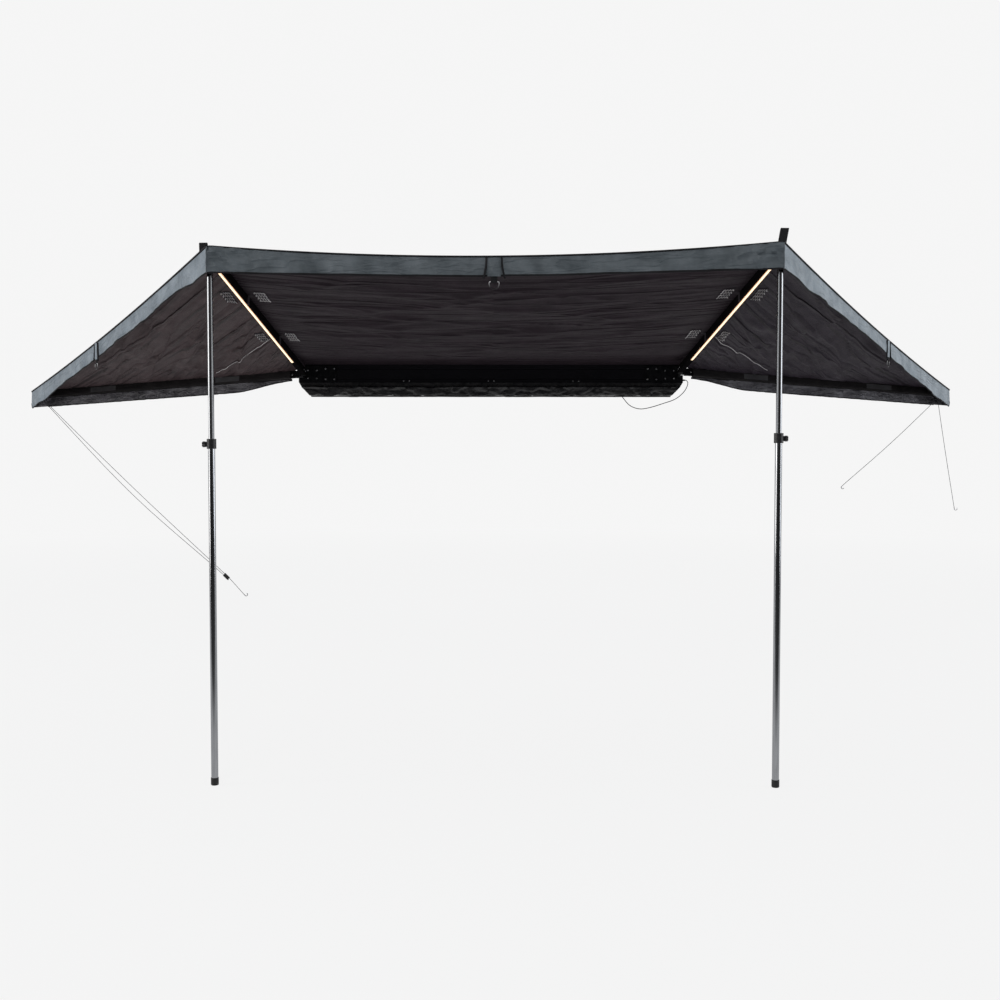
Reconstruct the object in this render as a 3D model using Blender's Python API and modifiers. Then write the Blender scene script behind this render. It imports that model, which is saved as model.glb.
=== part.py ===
"""Vehicle side awning, opened out, with its poles standing on the ground.

The origin is the middle of the underside of the centre rack bracket's foot.
+X runs along the vehicle, +Y points into the vehicle, and -Y is the side that the awning covers.
"""
import math

import bmesh
import bpy
from mathutils import Matrix, Vector

# Heights are above the ground that the pole feet stand on
GROUND = -1.800  # of the part's own frame
GAP = 0.0003  # between pieces that touch

# Backing plate, an extrusion
PLATE_HALF = 1.135
PLATE_BACK_Y = -0.045
PLATE_DEPTH = 0.030
PLATE_BOTTOM = 1.810
PLATE_TALL = 0.104
SLOT_MOUTH = 0.009
SLOT_WIDE = 0.017
SLOT_DEEP = 0.010
SLOT_LIP = 0.003
BOLT_LINE = 0.022  # of the bracket slot, above the plate's bottom edge
KEDER_R = 0.0045
KEDER_MOUTH = 0.004
RIB_DEEP = 0.002

# Roof plane: all four arms turn in one plane, which rises outwards
ROOF_TILT = math.radians(9.9)
ROOF_ABOVE = 0.0432  # of the arms' middle plane, above the plate's bottom edge at its front
PIN_INSET = 0.0245
PIN_X = PLATE_HALF - PIN_INSET
PIN_Q_LEFT = 0.0455  # from the plate's front, along the roof plane
PIN_Q_RIGHT = 0.1125
PIN_R = 0.006
SPLAY = math.radians(2.5)
SIDE_SWEEP = math.radians(18.2)  # side arms, behind square to the front arms

# Arms, box tubes
ARM_TALL = 0.040
ARM_WALL = 0.002
ARM_BEVEL = 0.004
FRONT_WIDE = 0.030
FRONT_OFFSET = 0.0165  # middle of the tube, sideways from the pin
FRONT_TUBE_END = 2.1505
SIDE_WIDE = 0.025
SIDE_OFFSET = 0.0140
SIDE_TUBE_END = 1.775
TUBE_START = 0.045
TENON = 0.030
CAP_LONG = 0.024

# Hinge stack at the pin, half heights from the middle plane
KNUCKLE_HALF = 0.0097
LEAF_LOW, LEAF_HIGH = 0.0100, 0.0147
LUG_LOW, LUG_HIGH = 0.0150, 0.0200
KNUCKLE_R = 0.017
BLOCK_START = 0.024
PIN_CLEAR = 0.0003
PIN_HEAD = 0.003
HUB_PLATE_T = 0.005
HUB_PLATE_WIDE = 0.205
HUB_PLATE_TALL = 0.096
HUB_OUTER_EDGE = 0.006  # past the pin

# Pole clevis and pole
CLEVIS_WIDE = 0.036
EAR_T = 0.004
PIVOT_PAST_TUBE = 0.020
PIVOT_S = FRONT_TUBE_END + PIVOT_PAST_TUBE
PIVOT_DROP = 0.043
PIVOT_R = 0.004
EAR_R = 0.014
HEAD_R = 0.012
HEAD_WIDE = 0.020
UPPER_R = 0.0125
LOWER_R = 0.015
POLE_WALL = 0.0015
HEAD_LENGTH = 0.030
UPPER_INSIDE = 0.080  # of the upper tube, inside the lower one
COLLAR_Z = {"left": 1.450, "right": 1.474}  # middle of the clamp collar
COLLAR_TALL = 0.042
COLLAR_R = 0.0200
COLLAR_LIP = 0.004
FOOT_R = 0.0165
FOOT_TALL = 0.032
KNOB_R = 0.013
KNOB_T = 0.012
KNOB_REACH = 0.040
KNOB_LOBES = 5

# LED strips under the front arms
LED_START = 0.370
LED_SHORT = 0.1405  # of the strip, before the tube's end
LED_END = FRONT_TUBE_END - LED_SHORT
LED_WIDE, LED_T = 0.017, 0.004

# Roof cloth, as one thick skin
CLOTH_T = 0.0025
CLOTH_N = ARM_TALL / 2 + GAP  # its underside, above the arms' middle plane
ROOT_RISE = 0.0390  # of the cloth at the plate, down to the arms over RISE_RUN
RISE_RUN = 0.450
CORNER_PAST_PIVOT = 0.0565
CORNER_S = PIVOT_S + CORNER_PAST_PIVOT
ROOF_SAG = 0.030
FRONT_DIP = 0.037
FRONT_BOW = 0.045
SEAM_SHARE = 0.009  # of the panel's width, flat over each front arm
WING_START = 0.060
WING_BOW = 0.026
WING_SAG = 0.032
WING_SEAM_SHARE = 0.02
TIP_PAST_TUBE = 0.117
TIP_S = SIDE_TUBE_END + TIP_PAST_TUBE
VALANCE_T = 0.0025
HEM_OUT = 0.0010  # of a valance, off the roof's edge
VALANCE_TALL = 0.107
VALANCE_MID = 0.078
FOLDS = 7  # shallow folds across the centre panel
FOLD_DEEP = 0.006

# Sleeve on each side arm, with a hanging skirt
SLEEVE_T = 0.0015
SLEEVE_START = 0.075
SLEEVE_SHORT = 0.005  # of the sleeve, before the tube's end
SLEEVE_END = SIDE_TUBE_END - SLEEVE_SHORT
SKIRT_DROP = 0.079
SKIRT_T = 0.0025

# Webbing loops, tabs and D-rings
LOOP_WIDE = 0.031
LOOP_T = 0.0025
LOOP_DEEP = 0.018
LOOP_TALL = {"left": 0.030, "right": 0.072}
TAB_WIDE = 0.058
TAB_T = 0.0025
TAB_STAND = 0.0006  # off the valance, which curves behind it
WEB_WIDE = 0.028
WEB_DROP = 0.022
WEB_R = 0.0046
RING_R = 0.0021
RING_CLEAR = 0.0004
RING_WIDE = 0.042
RING_TALL = 0.030
TAB_SHARE = 0.555  # of the wing's edge, from the front corner
SIDE_TAB_DROP = 0.087  # how far a side tab reaches down its valance

# Rack brackets
BRACKET_X = (-0.500, 0.0, 0.500)
BRACKET_WIDE = 0.070
BRACKET_T = 0.005
BRACKET_LEG = 0.060
FOOT_SLOT_WIDE = 0.009
FOOT_SLOT_LONG = 0.040
FOOT_SLOT_X = 0.020

# Travel bag, hanging open
BAG_INSET = 0.003
BAG_END_SLOPE = 0.072
BAG_TOP_HALF = PLATE_HALF - BAG_INSET
BAG_BOTTOM_HALF = BAG_TOP_HALF - BAG_END_SLOPE
BAG_LIP = 1.790
BAG_BOTTOM = 1.721
BAG_FRONT_Y = -0.125

# Guy ropes and LED lead
ROPE_D = 0.003
LEAD_D = 0.0045
TOGGLE = (0.018, 0.014, 0.020)
ROPE_APART = 0.008
ROPE_OUT = 0.006
ROPE_STEP = 0.10
ROPE_SAG = 0.012
SLIDER_AT = (-1.625, 0.190, 0.635 + GROUND)
SLIDER_LONG, SLIDER_WIDE, SLIDER_T = 0.040, 0.022, 0.007
SLIDER_HOLE = 0.005  # of each rope, from the slider's middle
LEFT_ROPE_END = (-1.520, 0.190, 0.527 + GROUND)
RIGHT_ROPE_ENDS = {
    "inner": (2.168, 0.190, 1.196 + GROUND),
    "outer": (2.930, 0.390, 1.050 + GROUND),
}
HOOK_R = 0.0025
HOOK_SHANK = 0.012
HOOK_BEND = 0.009
GLAND_R = 0.0055
LEAD_EXIT = (1.150, -0.064, 1.826)
LEAD_ROUTE = (  # heights above the ground
    (1.157, -0.064, 1.826),
    (1.166, -0.065, 1.812),
    (1.160, -0.067, 1.786),
    (1.138, -0.070, 1.752),
    (1.090, -0.076, 1.714),
    (1.012, -0.080, 1.686),
    (0.940, -0.078, 1.664),
    (0.880, -0.068, 1.656),
    (0.825, -0.050, 1.676),
    (0.785, -0.036, 1.722),
    (0.750, -0.036, 1.772),
    (0.718, -0.0405, 1.812),
)
LEAD_STEP = 0.0125
LEAD_TAIL = 0.037
PLUG_R = 0.006
PLUG_LONG = 0.035
COIL_TURNS_PER_LAYER = 3
COIL_LAYERS = 4
COIL_STEP = 0.0052
COIL_INNER = 0.0165
COIL_CENTRE = (0.760, 1.862)

BLACK = (0.012, 0.012, 0.013)
CLOTH = (0.055, 0.062, 0.072)
PARTS = None
CUTTERS = None


def clear_scene():
    for obj in list(bpy.data.objects):
        bpy.data.objects.remove(obj, do_unlink=True)


def collection(name):
    made = bpy.data.collections.new(name)
    bpy.context.scene.collection.children.link(made)
    return made


def material(name, colour, roughness, metallic=0.0):
    made = bpy.data.materials.new(name)
    made.use_nodes = True
    shader = made.node_tree.nodes["Principled BSDF"]
    shader.inputs["Base Color"].default_value = (*colour, 1)
    shader.inputs["Roughness"].default_value = roughness
    shader.inputs["Metallic"].default_value = metallic
    return made


def up(height):
    """A height above the ground, in the part's frame."""
    return height + GROUND


def frame(name, matrix):
    """An empty that carries one body's pieces."""
    empty = bpy.data.objects.new(name, None)
    empty.empty_display_size = 0.05
    PARTS.objects.link(empty)
    empty.matrix_world = matrix
    return empty


def place(obj, parent, into=None):
    (into or PARTS).objects.link(obj)
    if parent is not None:
        obj.parent = parent
    return obj


def face_out(bm):
    bmesh.ops.recalc_face_normals(bm, faces=bm.faces)
    if bm.calc_volume(signed=True) < 0:
        bmesh.ops.reverse_faces(bm, faces=bm.faces)


def solid(name, bm, parent, look, smooth=None):
    """One named sub-part from a closed bmesh, with its own material."""
    face_out(bm)
    mesh = bpy.data.meshes.new(name)
    bm.to_mesh(mesh)
    bm.free()
    if smooth:
        mesh.shade_smooth()
        mesh.set_sharp_from_angle(angle=math.radians(smooth))
    obj = bpy.data.objects.new(name, mesh)
    mesh.materials.append(material(name, *look))
    return place(obj, parent)


def boolean(target, bm, operation="DIFFERENCE"):
    """Cut a bmesh from a piece, or join it on, in the piece's own frame."""
    face_out(bm)
    mesh = bpy.data.meshes.new(target.name + "_cutter")
    bm.to_mesh(mesh)
    bm.free()
    tool = bpy.data.objects.new(mesh.name, mesh)
    place(tool, target.parent, CUTTERS)
    tool.hide_render = True
    tool.display_type = "WIRE"
    step = target.modifiers.new(operation.lower(), "BOOLEAN")
    step.operation = operation
    step.object = tool


def box(low, high, bevel=0.0, segments=2):
    bm = bmesh.new()
    low, high = Vector(low), Vector(high)
    size = high - low
    place_at = Matrix.Translation((low + high) / 2) @ Matrix.Diagonal((*size, 1))
    bmesh.ops.create_cube(bm, size=1, matrix=place_at)
    if bevel:
        bmesh.ops.bevel(
            bm, geom=bm.edges[:], offset=bevel, segments=segments, affect="EDGES", profile=0.5
        )
    return bm


def cylinder(radius, start, end, sides=24, radius_end=None):
    """A closed cylinder or cone between two points."""
    start, end = Vector(start), Vector(end)
    along = end - start
    turn = along.to_track_quat("Z", "Y").to_matrix().to_4x4()
    bm = bmesh.new()
    bmesh.ops.create_cone(
        bm,
        cap_ends=True,
        segments=sides,
        radius1=radius,
        radius2=radius if radius_end is None else radius_end,
        depth=along.length,
        matrix=Matrix.Translation((start + end) / 2) @ turn,
    )
    return bm


def outline(loops, thickness, matrix):
    """A flat outline, with holes where there are more loops, as a closed bmesh of that thickness.

    The outline lies in the XY plane of matrix, in the middle of the thickness.
    """
    curve = bpy.data.curves.new("outline", "CURVE")
    curve.dimensions = "2D"
    curve.fill_mode = "BOTH"
    curve.extrude = thickness / 2
    for loop in loops:
        spline = curve.splines.new("POLY")
        spline.points.add(len(loop) - 1)
        for point, (x, y) in zip(spline.points, loop):
            point.co = (x, y, 0, 1)
        spline.use_cyclic_u = True
    temporary = bpy.data.objects.new("outline", curve)
    bpy.context.scene.collection.objects.link(temporary)
    evaluated = temporary.evaluated_get(bpy.context.evaluated_depsgraph_get())
    mesh = bpy.data.meshes.new_from_object(evaluated)
    bm = bmesh.new()
    bm.from_mesh(mesh)
    bmesh.ops.remove_doubles(bm, verts=bm.verts, dist=0.00001)
    bm.transform(matrix)
    bpy.data.objects.remove(temporary)
    bpy.data.curves.remove(curve)
    bpy.data.meshes.remove(mesh)
    return bm


def arc(cx, cy, radius, start, end, steps):
    """Points of an arc, from start to end in degrees."""
    points = []
    for i in range(steps + 1):
        a = math.radians(start + (end - start) * i / steps)
        points.append((cx + radius * math.cos(a), cy + radius * math.sin(a)))
    return points


def round_box_outline(wide, tall, radius, steps=3):
    points = []
    corners = ((1, 1, 0), (-1, 1, 90), (-1, -1, 180), (1, -1, 270))
    for sx, sy, start in corners:
        cx, cy = sx * (wide / 2 - radius), sy * (tall / 2 - radius)
        points += arc(cx, cy, radius, start, start + 90, steps)
    return points


def upright(origin=(0, 0, 0)):
    """XY of an outline becomes YZ, so that its thickness runs along X."""
    turn = Matrix(((0, 0, 1, 0), (1, 0, 0, 0), (0, 1, 0, 0), (0, 0, 0, 1)))
    return Matrix.Translation(origin) @ turn


def front_on(origin=(0, 0, 0)):
    """XY of an outline becomes XZ, so that its thickness runs along Y."""
    turn = Matrix(((1, 0, 0, 0), (0, 0, -1, 0), (0, 1, 0, 0), (0, 0, 0, 1)))
    return Matrix.Translation(origin) @ turn


def even(count):
    """Shares from 0 to 1 in even steps."""
    return [i / count for i in range(count + 1)]


def edged(count, edge):
    """Shares from 0 to 1, with one narrow step at each end."""
    inner = [edge + (1 - 2 * edge) * share for share in even(count - 2)]
    return [0.0] + inner + [1.0]


def grid(point, us, vs):
    """An open surface of point(u, v) at the given shares."""
    bm = bmesh.new()
    verts = [[bm.verts.new(point(u, v)) for v in vs] for u in us]
    for line, following in zip(verts, verts[1:]):
        for j in range(len(vs) - 1):
            bm.faces.new((line[j], following[j], following[j + 1], line[j + 1]))
    return bm


def cloth(name, bm, parent, look, thickness, offset):
    """A shell from an open surface; offset 1 thickens it along its normals."""
    mesh = bpy.data.meshes.new(name)
    bm.to_mesh(mesh)
    bm.free()
    mesh.shade_smooth()
    obj = bpy.data.objects.new(name, mesh)
    mesh.materials.append(material(name, *look))
    shell = obj.modifiers.new("thickness", "SOLIDIFY")
    shell.thickness = thickness
    shell.offset = offset
    shell.use_even_offset = True
    return place(obj, parent)


def smooth_route(points, step):
    """Points a step apart on a smooth curve through the route's own points."""
    pts = [Vector(p) for p in points]
    pts = [2 * pts[0] - pts[1]] + pts + [2 * pts[-1] - pts[-2]]
    route = []
    for a, b, c, d in zip(pts, pts[1:], pts[2:], pts[3:]):
        length = (c - b).length
        leave, arrive = (c - a).normalized() * length, (d - b).normalized() * length
        count = max(1, round(length / step))
        for i in range(count):
            t = i / count
            start = (2 * t**3 - 3 * t**2 + 1) * b + (t**3 - 2 * t**2 + t) * leave
            route.append(start + (3 * t**2 - 2 * t**3) * c + (t**3 - t**2) * arrive)
    return route + [pts[-2]]


def tube(name, route, diameter, parent, look, resolution=2):
    curve = bpy.data.curves.new(name, "CURVE")
    curve.dimensions = "3D"
    curve.bevel_depth = diameter / 2
    curve.bevel_resolution = resolution
    curve.use_fill_caps = True
    spline = curve.splines.new("POLY")
    spline.points.add(len(route) - 1)
    for point, place_at in zip(spline.points, route):
        point.co = (*place_at, 1)
    curve.materials.append(material(name, *look))
    return place(bpy.data.objects.new(name, curve), parent)


def side_sign(side):
    """1 on the left of the photographed view, -1 on the right."""
    return 1 if side == "left" else -1


def roof_matrix():
    """X along the plate, Y down the roof towards the vehicle, Z square to the roof."""
    origin = (0, PLATE_BACK_Y - PLATE_DEPTH, up(PLATE_BOTTOM + ROOF_ABOVE))
    return Matrix.Translation(origin) @ Matrix.Rotation(-ROOF_TILT, 4, "X")


def pin_point(side):
    q = PIN_Q_LEFT if side == "left" else PIN_Q_RIGHT
    return Vector((-side_sign(side) * PIN_X, -q, 0))


def arm_matrix(side, kind):
    """X along the arm from the pin, Z square to the roof."""
    s = side_sign(side)
    if kind == "front":
        angle = -math.pi / 2 - s * SPLAY
    else:
        angle = math.pi - SIDE_SWEEP if s > 0 else SIDE_SWEEP
    return roof_matrix() @ Matrix.Translation(pin_point(side)) @ Matrix.Rotation(angle, 4, "Z")


def plate():
    """Aluminium extrusion with a bolt slot at its back and a keder groove along its top."""
    back, front = 0.0, -PLATE_DEPTH
    low, high = 0.0, PLATE_TALL
    slot = BOLT_LINE
    mouth, wide = SLOT_MOUTH / 2, SLOT_WIDE / 2
    keder_y = front / 2
    rim = math.asin(KEDER_MOUTH / 2 / KEDER_R)
    sink = high - 0.002 - KEDER_R
    profile = [(back, low), (back, slot - mouth), (back - SLOT_LIP, slot - mouth)]
    profile += [(back - SLOT_LIP, slot - wide), (back - SLOT_DEEP, slot - wide)]
    profile += [(back - SLOT_DEEP, slot + wide), (back - SLOT_LIP, slot + wide)]
    profile += [(back - SLOT_LIP, slot + mouth), (back, slot + mouth), (back, high)]
    profile += [(keder_y + KEDER_MOUTH / 2, high)]
    groove = arc(
        keder_y, sink, KEDER_R, 90 - math.degrees(rim), -270 + math.degrees(rim), 10
    )
    profile += groove
    profile += [(keder_y - KEDER_MOUTH / 2, high), (front, high)]
    for z in (0.78, 0.22):
        middle = high * z
        profile += [(front, middle + 0.004), (front + RIB_DEEP, middle + 0.002)]
        profile += [(front + RIB_DEEP, middle - 0.002), (front, middle - 0.004)]
    profile += [(front, low)]
    bm = outline([profile], 2 * PLATE_HALF, upright((0, PLATE_BACK_Y, up(PLATE_BOTTOM))))
    obj = solid("backing_plate", bm, None, (BLACK, 0.45, 0.6))
    x, y, z = LEAD_EXIT
    gland = cylinder(GLAND_R, (PLATE_HALF - 0.001, y, up(z)), (x - GAP, y, up(z)), 20, LEAD_D * 0.8)
    boolean(obj, gland, "UNION")


def rack_bracket(name, x):
    """L bracket: its upright leg lies on the plate's back, its foot sits on a rack bar."""
    back = PLATE_BACK_Y + GAP
    half = BRACKET_WIDE / 2
    foot_end = -PLATE_BACK_Y
    profile = [(back, 0), (foot_end, 0), (foot_end, BRACKET_T), (back + BRACKET_T * 2, BRACKET_T)]
    profile += arc(back + BRACKET_T * 2, BRACKET_T * 2, BRACKET_T, 270, 180, 4)
    profile += [(back + BRACKET_T, BRACKET_LEG), (back, BRACKET_LEG)]
    bm = outline([profile], BRACKET_WIDE, upright((x, 0, 0)))
    obj = solid(name, bm, None, (BLACK, 0.5, 0.5))
    for sx in (-1, 1):
        r = FOOT_SLOT_WIDE / 2
        straight = FOOT_SLOT_LONG / 2 - r
        cx = x + sx * FOOT_SLOT_X
        loop = arc(cx, straight, r, 0, 180, 6) + arc(cx, -straight, r, 180, 360, 6)
        boolean(obj, outline([loop], BRACKET_T * 3, Matrix.Identity(4)))
        hole_z = up(PLATE_BOTTOM) + BOLT_LINE
        at = x + sx * half * 0.49
        boolean(obj, cylinder(0.0045, (at, back - 0.01, hole_z), (at, back + 0.02, hole_z), 16))


def hub_bracket(side):
    """Bolted plate with two lugs, which reach out to the hinge pin."""
    s = side_sign(side)
    pin = pin_point(side)
    roof = bpy.data.objects["roof_plane"]
    front_y = PLATE_BACK_Y - PLATE_DEPTH - GAP
    outer = -s * (PIN_X + HUB_OUTER_EDGE)
    inner = outer + s * HUB_PLATE_WIDE
    middle = up(PLATE_BOTTOM) + PLATE_TALL / 2
    low = (min(outer, inner), front_y - HUB_PLATE_T, middle - HUB_PLATE_TALL / 2)
    high = (max(outer, inner), front_y, middle + HUB_PLATE_TALL / 2)
    bm = box(low, high, 0.0015, 1)
    bm.transform(roof_matrix().inverted())
    obj = solid(f"hub_bracket_{side}", bm, roof, (BLACK, 0.4, 0.7))
    web_in, web_out = KNUCKLE_R, 0.003
    thick = LUG_HIGH - LUG_LOW
    for sign in (1, -1):
        level = sign * (LUG_LOW + thick / 2)
        # the plate stands upright and the lugs lie in the tilted roof plane
        reach = -pin.y - level * math.tan(ROOF_TILT) - HUB_PLATE_T / 2
        lug = arc(0, 0, KNUCKLE_R, 180, 360, 10)
        lug += [(web_in, reach), (-web_out, reach), (-web_out, 0.020)]
        lug = [(pin.x + s * x, pin.y + y) for x, y in lug]
        at = Matrix.Translation((0, 0, level))
        boolean(obj, outline([lug], thick, at), "UNION")
    hole = PIN_R + PIN_CLEAR
    boolean(obj, cylinder(hole, (pin.x, pin.y, -0.04), (pin.x, pin.y, 0.04)))


def hinge_pin(side):
    pin = pin_point(side)
    end = LUG_HIGH + GAP
    bm = cylinder(PIN_R, (pin.x, pin.y, -end - 0.001), (pin.x, pin.y, end + 0.001))
    roof = bpy.data.objects["roof_plane"]
    obj = solid(f"hinge_pin_{side}", bm, roof, ((0.6, 0.6, 0.62), 0.25, 1.0), 40)
    for sign in (1, -1):
        head = cylinder(0.010, (pin.x, pin.y, sign * end), (pin.x, pin.y, sign * (end + PIN_HEAD)))
        boolean(obj, head, "UNION")


def box_tube(name, wide, start, end, lateral, parent):
    outer = round_box_outline(wide, ARM_TALL, ARM_BEVEL)
    inner = round_box_outline(
        wide - 2 * ARM_WALL, ARM_TALL - 2 * ARM_WALL, ARM_BEVEL - ARM_WALL
    )
    bm = outline([outer, inner], end - start, upright(((start + end) / 2, lateral, 0)))
    return solid(name, bm, parent, (BLACK, 0.38, 0.7))


def tenon(wide, start, end, lateral):
    inset = 2 * (ARM_WALL + GAP)
    loop = round_box_outline(wide - inset, ARM_TALL - inset, ARM_BEVEL - ARM_WALL)
    return outline([loop], end - start, upright(((start + end) / 2, lateral, 0)))


def front_knuckle(side, parent):
    """Fork at the front arm's root: two leaves round the pin."""
    s = side_sign(side)
    lateral = s * FRONT_OFFSET
    near, far = lateral - FRONT_WIDE / 2, lateral + FRONT_WIDE / 2
    half = ARM_TALL / 2
    bm = box((BLOCK_START, near, -half), (TUBE_START - GAP, far, half))
    obj = solid(f"front_knuckle_{side}", bm, parent, (BLACK, 0.4, 0.7))
    boolean(obj, tenon(FRONT_WIDE, TUBE_START - 0.001, TUBE_START + TENON, lateral), "UNION")
    thick = LEAF_HIGH - LEAF_LOW
    for sign in (1, -1):
        leaf = arc(0, 0, KNUCKLE_R, 90, 270, 10)
        leaf += [(BLOCK_START - 0.003, -0.006), (BLOCK_START + 0.002, 0.0035), (BLOCK_START + 0.002, 0.028)]
        leaf = [(x, s * y) for x, y in leaf]
        at = Matrix.Translation((0, 0, sign * (LEAF_LOW + thick / 2)))
        boolean(obj, outline([leaf], thick, at), "UNION")
    boolean(obj, cylinder(PIN_R + PIN_CLEAR, (0, 0, -0.04), (0, 0, 0.04)))


def side_knuckle(side, parent):
    """Single eye at the side arm's root, between the fork's leaves."""
    s = side_sign(side)
    lateral = -s * SIDE_OFFSET
    near, far = lateral - SIDE_WIDE / 2, lateral + SIDE_WIDE / 2
    half = ARM_TALL / 2
    bm = box((BLOCK_START, near, -half), (TUBE_START - GAP, far, half))
    obj = solid(f"side_knuckle_{side}", bm, parent, (BLACK, 0.4, 0.7))
    boolean(obj, tenon(SIDE_WIDE, TUBE_START - 0.001, TUBE_START + TENON, lateral), "UNION")
    eye = arc(0, 0, KNUCKLE_R, 90, 270, 10)
    eye += [(BLOCK_START + 0.002, -0.024), (BLOCK_START + 0.002, -0.0035), (BLOCK_START - 0.003, 0.006)]
    eye = [(x, s * y) for x, y in eye]
    boolean(obj, outline([eye], 2 * KNUCKLE_HALF, Matrix.Identity(4)), "UNION")
    boolean(obj, cylinder(PIN_R + PIN_CLEAR, (0, 0, -0.04), (0, 0, 0.04)))


def pole_clevis(side, parent):
    """End fitting of the front arm: a capped channel, with the pole's pivot pin across its ears."""
    lateral = side_sign(side) * FRONT_OFFSET
    half = CLEVIS_WIDE / 2
    start = FRONT_TUBE_END + GAP
    end = PIVOT_S + EAR_R + 0.002
    top = ARM_TALL / 2
    bm = box((start, lateral - half, -top), (end, lateral + half, top), 0.002, 1)
    obj = solid(f"pole_clevis_{side}", bm, parent, (BLACK, 0.42, 0.6))
    boolean(obj, tenon(FRONT_WIDE, start - TENON, start + 0.001, lateral), "UNION")
    for sign in (-1, 1):
        ear = arc(PIVOT_S, -PIVOT_DROP, EAR_R, 180, 360, 10)
        ear += [(end - 0.002, -top + 0.004), (start + 0.002, -top + 0.004)]
        y = lateral + sign * (half - EAR_T / 2)
        boolean(obj, outline([ear], EAR_T, front_on((0, y, 0))), "UNION")
    pin = cylinder(
        PIVOT_R,
        (PIVOT_S, lateral - half - 0.002, -PIVOT_DROP),
        (PIVOT_S, lateral + half + 0.002, -PIVOT_DROP),
        16,
    )
    boolean(obj, pin, "UNION")


def pivot_world(side):
    local = Vector((PIVOT_S, side_sign(side) * FRONT_OFFSET, -PIVOT_DROP))
    return arm_matrix(side, "front") @ local


def pole_matrix(side):
    """Origin on the pole's pivot, X along the pivot pin, Z up the pole."""
    along = arm_matrix(side, "front").to_3x3() @ Vector((1, 0, 0))
    across = Vector((-along.y, along.x, 0)).normalized()
    turn = Matrix((across, Vector((0, 0, 1)).cross(across), (0, 0, 1))).transposed().to_4x4()
    return Matrix.Translation(pivot_world(side)) @ turn


def pole(side):
    s = side_sign(side)
    swing = frame(f"pole_frame_{side}", pole_matrix(side))
    drop = swing.matrix_world.translation.z - up(0)
    lower_top = drop - COLLAR_Z[side] - COLLAR_TALL / 2 + COLLAR_LIP  # down from the pivot
    upper_end = lower_top + UPPER_INSIDE
    bm = cylinder(UPPER_R, (0, 0, -HEAD_LENGTH), (0, 0, -upper_end), 28)
    obj = solid(f"pole_upper_{side}", bm, swing, (BLACK, 0.22, 0.8), 40)
    inner = UPPER_R - POLE_WALL
    boolean(obj, cylinder(inner, (0, 0, -HEAD_LENGTH - 0.02), (0, 0, -upper_end - 0.01), 28))
    head_end = HEAD_LENGTH + 0.002
    head = arc(0, 0, HEAD_R, 0, 180, 10) + [(-HEAD_R, -head_end), (HEAD_R, -head_end)]
    boolean(obj, outline([head], HEAD_WIDE, upright()), "UNION")
    boolean(obj, cylinder(PIVOT_R + PIN_CLEAR, (-0.03, 0, 0), (0.03, 0, 0), 16))

    slide = frame(f"pole_slide_frame_{side}", pole_matrix(side))
    foot_floor = 0.004
    lower_end = drop - foot_floor - GAP
    bm = cylinder(LOWER_R, (0, 0, -lower_top - COLLAR_LIP - GAP), (0, 0, -lower_end), 32)
    obj = solid(f"pole_lower_{side}", bm, slide, (BLACK, 0.22, 0.8), 40)
    bore = UPPER_R + 0.0007
    boolean(obj, cylinder(bore, (0, 0, 0.01 - lower_top), (0, 0, -lower_end - 0.01), 32))

    collar_top = -(drop - COLLAR_Z[side]) + COLLAR_TALL / 2
    collar_low = collar_top - COLLAR_TALL
    bm = cylinder(COLLAR_R, (0, 0, collar_low), (0, 0, collar_top), 32)
    bmesh.ops.bevel(
        bm,
        geom=[e for e in bm.edges if abs(e.verts[0].co.z - e.verts[1].co.z) < 1e-6],
        offset=0.0015,
        segments=2,
        affect="EDGES",
        profile=0.5,
    )
    obj = solid(f"pole_collar_{side}", bm, slide, (BLACK, 0.55, 0.0), 40)
    boss_y = KNOB_REACH - KNOB_T - 0.002
    boolean(obj, box((min(0, -s * boss_y), -0.008, collar_low + 0.008),
                     (max(0, -s * boss_y), 0.008, collar_low + 0.030), 0.002, 1), "UNION")
    seat = LOWER_R + GAP
    boolean(obj, cylinder(seat, (0, 0, collar_low - 0.01), (0, 0, collar_top - 2 * COLLAR_LIP), 32))
    boolean(obj, cylinder(bore, (0, 0, collar_low - 0.02), (0, 0, collar_top + 0.01), 32))
    stem_z = collar_low + 0.019
    stem_r = 0.003
    boolean(obj, cylinder(stem_r + PIN_CLEAR, (-s * (LOWER_R + 0.002), 0, stem_z),
                          (-s * (boss_y + 0.01), 0, stem_z), 16))
    knob(side, slide, boss_y, stem_z, stem_r)

    bm = cylinder(FOOT_R * 0.9, (0, 0, -drop), (0, 0, -drop + 0.003), 32, FOOT_R)
    obj = solid(f"pole_foot_{side}", bm, slide, (BLACK, 0.8, 0.0), 40)
    boolean(obj, cylinder(FOOT_R, (0, 0, -drop + 0.0029), (0, 0, -drop + FOOT_TALL), 32), "UNION")
    boolean(obj, cylinder(LOWER_R + GAP, (0, 0, -drop + foot_floor), (0, 0, -drop + 0.05), 32))


def knob(side, slide, boss_y, stem_z, stem_r):
    """Lobed clamp knob, on a screw through the collar's boss."""
    s = side_sign(side)
    turn = frame(
        f"knob_frame_{side}",
        slide.matrix_world @ Matrix.Translation((0, 0, stem_z)),
    )
    lobes = []
    steps = KNOB_LOBES * 6
    for i in range(steps):
        a = 2 * math.pi * i / steps
        r = KNOB_R - 0.002 + 0.002 * math.cos(KNOB_LOBES * a)
        lobes.append((r * math.cos(a), r * math.sin(a)))
    x = -s * (boss_y + GAP + KNOB_T / 2)
    bm = outline([lobes], KNOB_T, upright((x, 0, 0)))
    obj = solid(f"pole_knob_{side}", bm, turn, (BLACK, 0.5, 0.0), 40)
    inner_end = -s * (LOWER_R + 0.004)
    boolean(obj, cylinder(stem_r, (inner_end, 0, 0), (x, 0, 0), 16), "UNION")


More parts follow.
